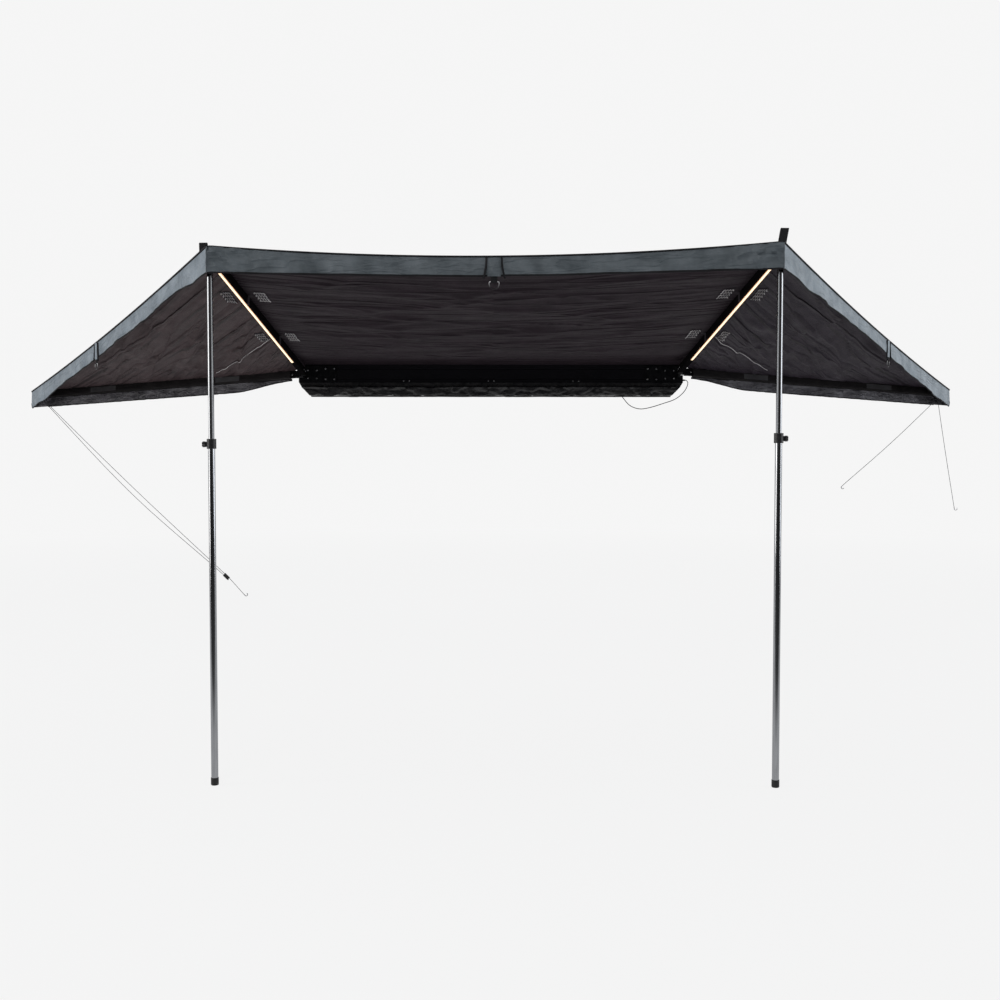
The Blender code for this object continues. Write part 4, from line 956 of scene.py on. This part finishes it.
def underside_of(names):
    """Finds the cloth above a place, square to the roof."""
    verts, faces = [], []
    for name in names:
        mesh = bpy.data.objects[name].data
        start = len(verts)
        verts += [v.co.copy() for v in mesh.vertices]
        faces += [[start + i for i in p.vertices] for p in mesh.polygons]
    tree = BVHTree.FromPolygons(verts, faces)

    def under(place, below):
        hit = tree.ray_cast(place - ROOF_N * 0.3, ROOF_N)[0]
        return (hit or place) - ROOF_N * below

    return under


def wing_names(side):
    return [f"wing_{side}_{gore[0]}" for gore in GORES[side]]


def add_strap(bm, m, s, at):
    """Webbing round the arm's sides and underside, open over the light strip's middle."""
    half, tall = FRONT_WIDE / 2 + 0.0012, ARM_TALL / 2
    loop = [(half + 0.02, CLOTH_N - 0.0016), (half, tall - 0.004), (half, -tall)]
    loop.append((half - 0.004, -tall - 0.0055))
    loop += [(-y, z) for y, z in reversed(loop)]
    places = [m @ Vector((at, s * FRONT_OFFSET + y, z)) for y, z in loop]
    along = m.to_3x3() @ Vector((1, 0, 0))
    wide = along * STRAP_HALF
    for k in (0, 1, 2, 4, 5, 6):
        a, b = places[k], places[k + 1]
        thick = (b - a).normalized().cross(along.normalized()) * STRAP_T
        lower = [bm.verts.new(p) for p in (a - wide, b - wide, b + wide, a + wide)]
        upper = [bm.verts.new(v.co + thick) for v in lower]
        bm.faces.new(lower)
        bm.faces.new(list(reversed(upper)))
        for i in range(4):
            bm.faces.new((lower[i], lower[(i + 1) % 4], upper[(i + 1) % 4], upper[i]))


def build_straps(side):
    """Hook-and-loop straps round the front arm, with stitched patches on the cloth each side."""
    s = SIGN[side]
    m = ARM[side, "front"]
    body = f"front_arm_{side}"
    under = underside_of([f"roof_panel_{side}"] + wing_names(side))
    straps, threads = bmesh.new(), bmesh.new()

    def on_cloth(along, lateral, below):
        return under(m @ Vector((along, s * lateral, CLOTH_N)), below)

    for index, at in enumerate(STRAP_AT):
        add_strap(straps, m, s, at)
        for word, (y0, y1) in PATCH_SPANS.items():

            def patch(u, v):
                return on_cloth(at - PATCH_HALF + 2 * PATCH_HALF * u, y0 + (y1 - y0) * v, 0.0022)

            name = f"strap_patch_{side}_{word}_{index + 1}"
            attach(sheet_object(name, patch, even(14), even(6), ROOF_N, PATCH, PATCH, 0.0008), body)
            for row in range(THREAD_ROWS):
                zig = []
                for k in range(9):
                    along = at + PATCH_HALF * (-0.75 + 0.5 * row) + (0.014 if k % 2 else -0.014)
                    zig.append(on_cloth(along, y0 + (y1 - y0) * (0.06 + 0.88 * k / 8), 0.003))
                add_tube(threads, zig, THREAD_R, 5)
    attach(new_object(f"arm_straps_{side}", straps, PATCH, smooth=False), body)
    attach(new_object(f"strap_threads_{side}", threads, THREAD), body)


def build_wing_seam(side):
    """A pale sewn line under the wing, from the inner strap back towards the side arm."""
    m = ARM[side, "front"]
    under = underside_of(wing_names(side))
    for word, body, angle, low, high in GORES[side]:
        first = polar(side, low) if low else -1.0
        last = polar(side, high)
        points = []
        for t in even(80):
            x, y = SEAM_FROM.lerp(SEAM_TO, t)
            if first <= degrees(atan2(-y, x)) <= last:
                points.append(under(m @ Vector((x, SIGN[side] * y, CLOTH_N)), 0.0014))
        if len(points) > 2:
            gather(tube_object(f"wing_seam_{side}_{word}", points, 0.0015, THREAD), side, body, angle)


# Each corner loop's height, lean and shift along the front
LOOPS = {"left": (0.04, 0.002, -0.01), "right": (0.086, 0.018, 0.012)}
LOOP_WIDE, LOOP_HALF, LOOP_T = 0.033, 0.009, 0.0022


def build_loop(side):
    """Webbing loop on the front corner, made of one folded strip."""
    s = SIGN[side]
    tall, lean, shift = LOOPS[side]
    half, edge = LOOP_HALF, LOOP_WIDE / 2
    base = (PIVOT_S - 0.01, s * (FRONT_OFFSET - edge - 0.004 + shift), CLOTH_N + CLOTH_T + GAP)
    m = ARM[side, "front"] @ Matrix.Translation(base)
    outer = [(half - 0.001, 0.0), (half - 0.0005, tall * 0.35)]
    for k in range(13):
        a = pi * k / 12
        outer.append((half * cos(a), tall - half + half * sin(a)))
    outer += [(-half + 0.0005, tall * 0.35), (-half + 0.001, 0.0), (half - 0.001, 0.0)]
    bm = bmesh.new()
    uv = bm.loops.layers.uv.new("UVMap")
    across = [-edge, -edge + 0.0015, 0, edge - 0.0015, edge]
    rows = []
    for i, (x, z) in enumerate(outer):
        a, b = outer[max(0, i - 1)], outer[min(len(outer) - 1, i + 1)]
        t = Vector((b[0] - a[0], b[1] - a[1])).normalized()
        line = []
        for y in across:
            deep = LOOP_T * (0.6 if abs(y) == edge else 1.0)
            out = Vector((x, y - s * lean * z / tall, z))
            line.append([bm.verts.new(m @ place) for place in (out, out + Vector((-t.y, 0, t.x)) * deep)])
        rows.append(line)
    for i in range(len(outer) - 1):
        for j in range(len(across) - 1):
            spots = ((i, j), (i + 1, j), (i + 1, j + 1), (i, j + 1))
            for layer in (0, 1):
                verts = [rows[p][q][layer] for p, q in spots]
                add_face(bm, uv, verts, [(p * 0.006, across[q]) for p, q in spots])
        for j in (0, -1):
            bm.faces.new((*rows[i][j], *reversed(rows[i + 1][j])))
    for i in (0, -1):
        for one, two in zip(rows[i], rows[i][1:]):
            bm.faces.new((one[0], two[0], two[1], one[1]))
    obj = new_object(f"corner_webbing_{side}", bm, WEBBING)
    attach(obj, f"front_arm_{side}", "webbing", f"corner_loop_{side}")


TAB_HALF = 0.029
TAB_OFF = 0.0028 + GAP  # off the valance's edge line
RING_R = 0.0021
BAR_TURN_R = 0.0042
WEB_HALF = 0.0138


def build_tab(name, body, out, top, drop, look, neighbour):
    """Cloth tab with side pleats, webbing and a sewn sleeve round its D-ring's bar."""
    along = UP.cross(out).normalized()
    m = Matrix.Translation(top + out * TAB_OFF) @ Matrix((along, -out, UP)).transposed().to_4x4()
    bottom = -drop - 0.004
    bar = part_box(f"{name}_d_ring")[1].z - RING_R - top.z

    def face(u, v):
        x = (u - 0.5) * 2 * TAB_HALF
        z = -0.004 + (bottom + 0.004) * v
        bulge = 0.004 * (1 - (2 * u - 1) ** 2) + 0.0012 * fractal(x * 60, z * 30, 1.0)
        return m @ Vector((x * (1 - 0.05 * v), -bulge, z))

    tab = sheet_object(f"{name}_tab_cloth", face, even(17), even(15), out, look, look, 0.0014)
    attach(tab, body, "skirt_cloth", f"{name}_tab")
    pleats = bmesh.new()
    for sign in (-1, 1):
        strip = []
        for t in even(9):
            x = sign * (TAB_HALF + 0.003 + 0.013 * t * t)
            strip.append(m @ Vector((x, -0.002 - 0.002 * t, -0.004 + (bottom - 0.006) * t)))
        add_tube(pleats, strip, 0.0055, 8, flat=0.35)
    attach(new_object(f"{name}_tab_pleats", pleats, BINDING), body)
    # webbing from behind the tab's hem to the ring, turned round its bar
    path = [(0.0009, bottom + 0.006), (0.0009, bar + 0.006)]
    for k in range(13):
        a = radians(60 - 300 * k / 12)
        path.append((-BAR_TURN_R * cos(a), bar + BAR_TURN_R * sin(a)))
    path += [(-0.0012, bar + 0.008), (-0.0012, bottom + 0.006)]
    bm = bmesh.new()
    rows = [[bm.verts.new(m @ Vector((x, y, z))) for x in (-WEB_HALF, WEB_HALF)] for y, z in path]
    for one, two in zip(rows, rows[1:]):
        bm.faces.new((one[0], one[1], two[1], two[0]))
    obj = new_object(f"{name}_ring_webbing", bm, WEBBING)
    shell = obj.modifiers.new("thickness", "SOLIDIFY")
    shell.thickness = 0.0012
    shell.offset = 0
    attach(obj, body, "webbing")


def build_tabs():
    out = Vector((0, -1, 0))
    build_tab("front", "hem", out, front_top(0.5), VALANCE_MID, VALANCE, "front_valance_right")
    for side in SIDES:
        out = OUTWARD[side]
        top = wing_edge(side, TAB_SHARE) + out * HEM_OUT
        body, neighbour = f"wing_edge_{side}", f"side_valance_{side}_middle"
        # the side tabs take their side's valance cloth, with its painted light and shade
        build_tab(f"side_{side}", body, out, top, SIDE_TAB_DROP, SIDE_VALANCES_PAINTED_LIGHT[side], neighbour)


# Hubs and fasteners

# (radius, height) of each kind of bolt head
HUB_HEAD, ARM_HEAD, SIDE_HEAD = (0.004, 0.003), (0.0042, 0.0026), (0.004, 0.0026)
KNUCKLE_HEAD, PIVOT_HEAD = (0.0036, 0.0024), (0.006, 0.0034)
SMALL_HEAD, BRACKET_HEAD = (0.0034, 0.0024), (0.006, 0.0042)
HUB_BOLTS = ((1.08, 1.836, 1.882), (1.028, 1.836, 1.882), (0.976, 1.8305, 1.8925), (0.925, 1.8305, 1.8925))
BRACKET_X = (-0.5, 0.0, 0.5)


def bolts(name, body, places, m=None):
    """One body's bolts: (place, direction, radius, height) in the frame m."""
    m = m or Matrix()
    bm = bmesh.new()
    for at, way, radius, height in places:
        add_bolt(bm, m @ Vector(at), m.to_3x3() @ Vector(way), radius, height)
    attach(new_object(name, bm, ZINC), body)


def build_fasteners():
    front_y = PLATE_BACK_Y - PLATE_DEPTH
    away = (0, -1, 0)
    both = (-1, 1)
    for side in SIDES:
        s = SIGN[side]
        y = front_y - GAP - 0.005
        places = [((-s * x, y, up(z)), away, *HUB_HEAD) for x, *heights in HUB_BOLTS for z in heights]
        bolts(f"hub_bolts_{side}", "mounting", places)
        y = s * FRONT_OFFSET
        places = []
        for at in (0.06, 0.1):
            places += [((at, y + way * FRONT_WIDE / 2, 0), (0, way, 0), *ARM_HEAD) for way in both]
        places += [((at, y - s * 0.018, -0.004), (0, -s, 0), *KNUCKLE_HEAD) for at in (2.163, 2.178)]
        places += [((PIVOT_S, y + way * 0.02, -0.043), (0, way, 0), *PIVOT_HEAD) for way in both]
        bolts(f"front_arm_bolts_{side}", f"front_arm_{side}", places, ARM[side, "front"])
        y = -s * SIDE_OFFSET
        places = []
        for at in (0.06, 0.095):
            places += [((at, y + way * SIDE_WIDE / 2, 0), (0, way, 0), *SIDE_HEAD) for way in both]
        bolts(f"side_arm_bolts_{side}", f"side_arm_{side}", places, ARM[side, "side"])
    places = []
    for x in (middle + way for middle in BRACKET_X for way in (-0.017, 0.017)):
        places.append(((x, front_y, up(1.8205)), away, *SMALL_HEAD))
        places.append(((x, PLATE_BACK_Y + GAP + 0.005, up(PLATE_BOTTOM) + 0.022), (0, 1, 0), *BRACKET_HEAD))
    bolts("bracket_bolts", "mounting", places)


# Travel bag

BAG_HALF_TOP, BAG_HALF_LOW = 1.132, 1.06
BAG_LIP = 1.79
BAG_STEP = 0.006  # between the cover's points round its section
BAG_COUNT = 420


def bag_section(back, front, top, bottom):
    """(y, z) places round the bag, from its back edge under the plate to the front lip."""
    lip = up(BAG_LIP)
    step = PLATE_BACK_Y - PLATE_DEPTH - 0.003
    corners = [(back - 0.002, top), (back - 0.001, (top + bottom) / 2), (back - 0.004, bottom + 0.012)]
    corners += [(back - 0.014, bottom + 0.002), ((back + front) / 2, bottom + 0.003)]
    corners += [(front + 0.016, bottom + 0.002), (front + 0.004, bottom + 0.012)]
    corners += [(front + 0.003, (lip + bottom) / 2), (front + 0.002, lip - 0.006)]
    corners += [(front + 0.01, lip - 0.001), (step - 0.012, lip - 0.002)]
    corners += [(step - 0.003, lip + 0.004), (step - 0.002, top)]
    dense = []
    for a, b in zip(corners, corners[1:]):
        n = max(2, round(dist(a, b) / BAG_STEP))
        dense += [(a[0] + (b[0] - a[0]) * k / n, a[1] + (b[1] - a[1]) * k / n) for k in range(n)]
    return dense + [corners[-1]]


def build_bag():
    low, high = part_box("travel_bag")
    top, bottom, back, front = high.z, low.z, high.y, low.y
    dense = bag_section(back, front, top, bottom)
    bm = bmesh.new()
    uv = bm.loops.layers.uv.new("UVMap")
    rows = []
    for t in even(BAG_COUNT + 1):
        line = []
        for y, z in dense:
            half = BAG_HALF_LOW + (BAG_HALF_TOP - BAG_HALF_LOW) * (z - bottom) / (top - bottom)
            x = -half + 2 * half * t
            inwards = Vector((0, (back + front) / 2 - y, (top + bottom) / 2 - z)).normalized()
            free = min(1.0, (top - z) / 0.015)
            crumple = 0.5 + 0.5 * fractal(x * 11.0, z * 22.0, y * 20.0)
            crease = ridge(fractal(x * 7.0 + 3, z * 15.0, y * 9.0), 5.0)
            line.append(bm.verts.new(Vector((x, y, z)) + inwards * free * (0.009 * crumple + 0.006 * crease)))
        rows.append(line)
    n = len(dense)
    for i in range(BAG_COUNT):
        for j in range(n):
            spots = ((i, j), (i, j + 1), (i + 1, j + 1), (i + 1, j))
            verts = [rows[p][q % n] for p, q in spots]
            add_face(bm, uv, verts, [(p / BAG_COUNT * 2.2, q * BAG_STEP) for p, q in spots])
    for line in (rows[0], rows[-1]):
        bm.faces.new(line)
    obj = new_object("travel_bag_cover", bm, BAG)
    attach(obj, "mounting", "bag_cover", "travel_bag")
    reach = BAG_HALF_LOW - 0.004
    line = []
    for x in between(-reach, reach, 160):
        off = (0.012 + 0.0015 * fractal(x * 9, 0, 0), 0.006 + 0.0015 * fractal(x * 8, 1, 0))
        line.append(Vector((x, front + off[0], bottom + off[1])))
    attach(tube_object("travel_bag_piping", line, 0.0028, BINDING), "mounting")


# Cords

ROPE_D = 0.003
ROPE_APART = 0.008
ROPE_OUT = 0.006
ROPE_STEP = 0.03
ROPE_SAG = 0.012
TOGGLE = (0.018, 0.014, 0.02)
SLIDER_AT = (-1.625, 0.19, 0.635 + GROUND)
SLIDER_LONG = 0.04
SLIDER_HOLE = 0.005
LEFT_ROPE_END = (-1.52, 0.19, 0.527 + GROUND)
RIGHT_ROPE_ENDS = {
    "inner": (2.168, 0.19, 1.196 + GROUND),
    "outer": (2.93, 0.39, 1.05 + GROUND),
}
LEAD_D = 0.0045
LEAD_STEP = 0.0125
LEAD_TAIL = 0.037
LEAD_ROUTE = (
    (1.15, -0.064, 1.826), (1.157, -0.064, 1.826), (1.166, -0.065, 1.812), (1.16, -0.067, 1.786),
    (1.138, -0.07, 1.752), (1.09, -0.076, 1.714), (1.012, -0.08, 1.686), (0.94, -0.078, 1.664),
    (0.88, -0.068, 1.656), (0.825, -0.05, 1.676), (0.785, -0.036, 1.722), (0.75, -0.036, 1.772),
    (0.718, -0.0405, 1.812),
)
COIL_TURNS = 3  # in each layer
COIL_LAYERS = 4
COIL_STEP = 0.0052
COIL_INNER = 0.0165
COIL_CENTRE = (0.76, 1.862)
COIL_POINTS = 24  # in each turn


def smooth_route(points, step):
    """Points along a curve through the given ones, about one step apart."""
    pts = [Vector(p) for p in points]
    pts = [2 * pts[0] - pts[1]] + pts + [2 * pts[-1] - pts[-2]]
    route = []
    for a, b, c, d in zip(pts, pts[1:], pts[2:], pts[3:]):
        length = (c - b).length
        leave, arrive = (c - a).normalized() * length, (d - b).normalized() * length
        count = max(1, round(length / step))
        for i in range(count):
            t = i / count
            start = (2 * t**3 - 3 * t**2 + 1) * b + (t**3 - 2 * t**2 + t) * leave
            route.append(start + (3 * t**2 - 2 * t**3) * c + (t**3 - t**2) * arrive)
    return route + [pts[-2]]


def cord_object(name, route, diameter, look, body, nodes, slot, **terms):
    """A round cord along the route; its length is summed but not used."""
    curve = bpy.data.curves.new(name, "CURVE")
    curve.dimensions = "3D"
    curve.bevel_depth = diameter / 2
    curve.bevel_resolution = 3
    curve.use_fill_caps = True
    spline = curve.splines.new("POLY")
    spline.points.add(len(route) - 1)
    for point, at in zip(spline.points, route):
        point.co = (*at, 1)
    curve.materials.append(look)
    obj = add_object(name, curve)
    length = round(sum((b - a).length for a, b in zip(route, route[1:])), 3)
    tuple(route[0])
    attach(obj, body, slot, *nodes)


def rope_start(side, index):
    """Where a rope leaves the eye at the side arm's tip, and its first place below."""
    m = ARM[side, "side"]
    x = SIDE_TUBE_END + GAP + 0.004 + TOGGLE[0] / 2 + (index - 0.5) * ROPE_APART
    z = -ARM_TALL / 2 - TOGGLE[2] - GAP
    return [m @ Vector((x, -SIGN[side] * SIDE_OFFSET, z - drop)) for drop in (0, ROPE_OUT)]


def rope(name, points, side, far_end, node, pieces=()):
    route = smooth_route(points, ROPE_STEP)
    terms = {"far_end": far_end, "stiffness": "limp", "lay": "taut", "with_pieces": list(pieces)}
    cord_object(name, route, ROPE_D, CORD, f"side_arm_{side}", [node], "cord", **terms)


def build_ropes():
    slider, end = Vector(SLIDER_AT), Vector(LEFT_ROPE_END)
    first, start = rope_start("left", 0)
    along = (end - start).normalized()
    across = along.cross(Vector((0, 1, 0))).normalized()
    if across.z < 0:
        across = -across
    straight = along * (SLIDER_LONG / 2 + 0.006)
    sag = Vector((0, 0, -ROPE_SAG))
    upper, lower = slider + across * SLIDER_HOLE, slider - across * SLIDER_HOLE
    points = [first, start, (start + upper - straight) / 2 + sag, upper - straight, upper + straight, end]
    pieces = ("rope_slider", "rope_hook_left")
    rope("guy_rope_left_long", points, "left", "fitting", "guy_rope_left_main", pieces)
    first, start = rope_start("left", 1)
    points = [first, start, (start + lower - straight) / 2 + 4 * sag, lower - straight, lower + straight]
    rope("guy_rope_left_back", points, "left", "bare", "guy_rope_left_return")
    for index, (name, end) in enumerate(RIGHT_ROPE_ENDS.items()):
        first, start = rope_start("right", index)
        points = [first, start, (start + Vector(end)) / 2 + sag, end]
        hook = [f"rope_hook_right_{name}"]
        rope(f"guy_rope_out_{name}", points, "right", "fitting", f"guy_rope_right_{name}", hook)


def lead_coil_route():
    """Flat layers of turns behind the plate, wound in and out by turns, as one unbroken line."""
    turns = COIL_TURNS
    back = PLATE_BACK_Y + LEAD_D / 2 + GAP
    route = []
    for i in range(turns * COIL_LAYERS * COIL_POINTS + 1):
        turn = i / COIL_POINTS
        layer = min(COIL_LAYERS - 1, int(turn // turns))
        within = turn - layer * turns
        radius = COIL_INNER + COIL_STEP * ((turns - within) if layer % 2 == 0 else within)
        climb = 0.0
        if layer < COIL_LAYERS - 1 and within > turns - 0.25:
            climb = (within - (turns - 0.25)) / 0.5
        if layer > 0 and within < 0.25:
            climb = -(0.25 - within) / 0.5
        a = 2 * pi * turn - pi / 2
        x, z = COIL_CENTRE[0] + radius * cos(a), up(COIL_CENTRE[1]) + radius * sin(a)
        route.append(Vector((x, back + (layer + climb) * COIL_STEP, z)))
    return route


def build_lead():
    coil = lead_coil_route()
    start = coil[0]
    points = [(x, y, up(z)) for x, y, z in LEAD_ROUTE]
    points += [(start.x - run, start.y, start.z) for run in (0.035, 0.015, GAP)]
    route = smooth_route(points, LEAD_STEP) + coil + [coil[-1] + Vector((LEAD_TAIL, 0, 0))]
    terms = {"far_end": "plug", "stiffness": "medium", "lay": "coiled", "with_pieces": ["led_plug"]}
    nodes = ("led_lead", "led_lead_coil")
    cord_object("light_lead", route, LEAD_D, JACKET, "mounting", nodes, "cable_jacket", **terms)


# Finishes of the CAD nodes that stay

NODE_LOOKS = (
    (("backing_plate",), PLATE),
    (("front_arm_", "side_arm_"), ARM_METAL),
    (("hub_bracket", "rack_bracket", "front_knuckle", "side_knuckle", "pole_clevis"), STEEL),
    (("hinge_pin", "rope_hook"), ZINC),
    (("pole_upper", "pole_lower"), POLE),
    (("pole_collar", "pole_knob", "tip_cap", "rope_slider", "led_plug"), PLASTIC),
    (("pole_foot",), RUBBER),
)


def dress_nodes():
    for name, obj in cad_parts.items():
        look = RING if name.endswith("_d_ring") else BINDING
        for heads, candidate in NODE_LOOKS:
            if name.startswith(heads):
                look = candidate
        obj.data.materials.clear()
        obj.data.materials.append(look)


# Stage, lights and camera

CAMERA_AT = (-0.0412, -7.684, -0.3475)
CAMERA_YAW = radians(0.701)
CAMERA_PITCH = radians(2.5315)
FOCAL_PX = 1283.5
FRAME_PX = 1000
SENSOR_MM = 36.0
BACKDROP = 0.918
FLOOR_HALF = 40.0
FLOOR_FADE = (3.5, 14.0, 0.93, 1.0)  # metres from the middle, and the backdrop's share there
FLAG = 0.96  # how dark the flag is, seen in a reflection
FLAG_ON_FLOOR = (-3.0, -4.6)  # y where it starts and where it is full
FLAG_IN_WORLD = (-0.6, -0.85)  # the same for the direction's y
AIM = (0, -0.8, 0.1)
LAMPS = (
    ("left_strip", (-6.5, -3.2, 1.1), 1.6, 5.0, 150, (1.0, 0.97, 0.93)),
    ("right_strip", (6.5, -3.2, 1.1), 1.4, 5.0, 105, (0.93, 0.96, 1.0)),
    ("front_soft", (-1.8, -9.0, 4.5), 3.0, 3.0, 260, (1.0, 0.99, 0.97)),
    ("back_soft", (0.0, 4.0, 4.5), 4.0, 4.0, 110, (1.0, 1.0, 1.0)),
)


def build_camera():
    data = bpy.data.cameras.new("camera")
    data.sensor_width = SENSOR_MM
    data.sensor_fit = "HORIZONTAL"
    data.lens = FOCAL_PX / FRAME_PX * SENSOR_MM
    camera = add_object("camera", data)
    camera.location = CAMERA_AT
    camera.rotation_euler = (pi / 2 - CAMERA_PITCH, 0, -CAMERA_YAW)
    bpy.context.scene.camera = camera


class Backdrop(Nodes):
    """Shader of the floor or the world, plain white to the rays that look at it."""

    def __init__(self, tree):
        super().__init__(tree)
        self.path = self.tree.nodes.new("ShaderNodeLightPath").outputs

    def seen(self):
        """1 for a ray that the backdrop should show itself to: camera, glossy or transmission."""
        shown = self.math("MAXIMUM", self.path["Is Camera Ray"], self.path["Is Glossy Ray"])
        return self.math("MAXIMUM", shown, self.path["Is Transmission Ray"])

    def flag(self, y, near, far):
        """White, but for a black flag in front of the awning that only reflections show."""
        dark = self.math("MULTIPLY", self.remap(y, near, far, 0.0, FLAG), self.path["Is Glossy Ray"])
        return self.remap(dark, 0.0, 1.0, BACKDROP, 0.0)

    def mix(self, share, one, two, output):
        mixed = self.node("MixShader", {"Fac": share, 1: one.outputs[0], 2: two.outputs[0]})
        self.fill(self.tree.nodes[output], {"Surface": mixed.outputs[0]})


def build_floor():
    bm = bmesh.new()
    corners = ((-1, -1), (1, -1), (1, 1), (-1, 1))
    places = [(x * FLOOR_HALF, y * FLOOR_HALF, GROUND - 0.0002) for x, y in corners]
    bm.faces.new([bm.verts.new(place) for place in places])
    mat = bpy.data.materials.new("floor")
    mat.use_nodes = True
    back = Backdrop(mat.node_tree)
    shader = back.tree.nodes["Principled BSDF"]
    back.fill(shader, {"Base Color": (0.86, 0.86, 0.86, 1), "Roughness": 0.9})
    place = back.tree.nodes.new("ShaderNodeTexCoord").outputs["Object"]
    glow = back.node("Emission", {"Color": back.flag(back.axis(place, "Y"), *FLAG_ON_FLOOR)})
    away = back.node("VectorMath", {0: place}, operation="LENGTH").outputs["Value"]
    share = back.math("MULTIPLY", back.seen(), back.remap(away, *FLOOR_FADE))
    back.mix(share, shader, glow, "Material Output")
    new_object("floor", bm, mat)


def build_world():
    world = bpy.data.worlds.new("studio")
    bpy.context.scene.world = world
    world.use_nodes = True
    back = Backdrop(world.node_tree)
    ambient = back.tree.nodes["Background"]
    back.fill(ambient, {"Color": (0.9, 0.95, 1.0, 1), "Strength": 0.45})
    way = back.tree.nodes.new("ShaderNodeTexCoord").outputs["Generated"]
    shown = back.node("Background", {"Color": back.flag(back.axis(way, "Y"), *FLAG_IN_WORLD)})
    back.mix(back.seen(), ambient, shown, "World Output")


def build_lamps():
    for name, at, wide, tall, power, colour in LAMPS:
        data = bpy.data.lights.new(name, "AREA")
        data.shape = "RECTANGLE"
        data.size = wide
        data.size_y = tall
        data.energy = power
        data.color = colour
        lamp = add_object(name, data)
        lamp.location = at
        lamp.rotation_euler = (Vector(AIM) - Vector(at)).to_track_quat("-Z", "Y").to_euler()


def main():
    build_camera()
    build_lead()
    build_ropes()
    dress_nodes()
    build_roof()
    build_valances()
    for build in (build_sleeve, build_light, build_straps, build_wing_seam, build_loop):
        for side in SIDES:
            build(side)
    build_tabs()
    build_fasteners()
    build_bag()
    build_floor()
    build_world()
    build_lamps()
    bpy.context.scene.view_settings.view_transform = "Standard"


main()
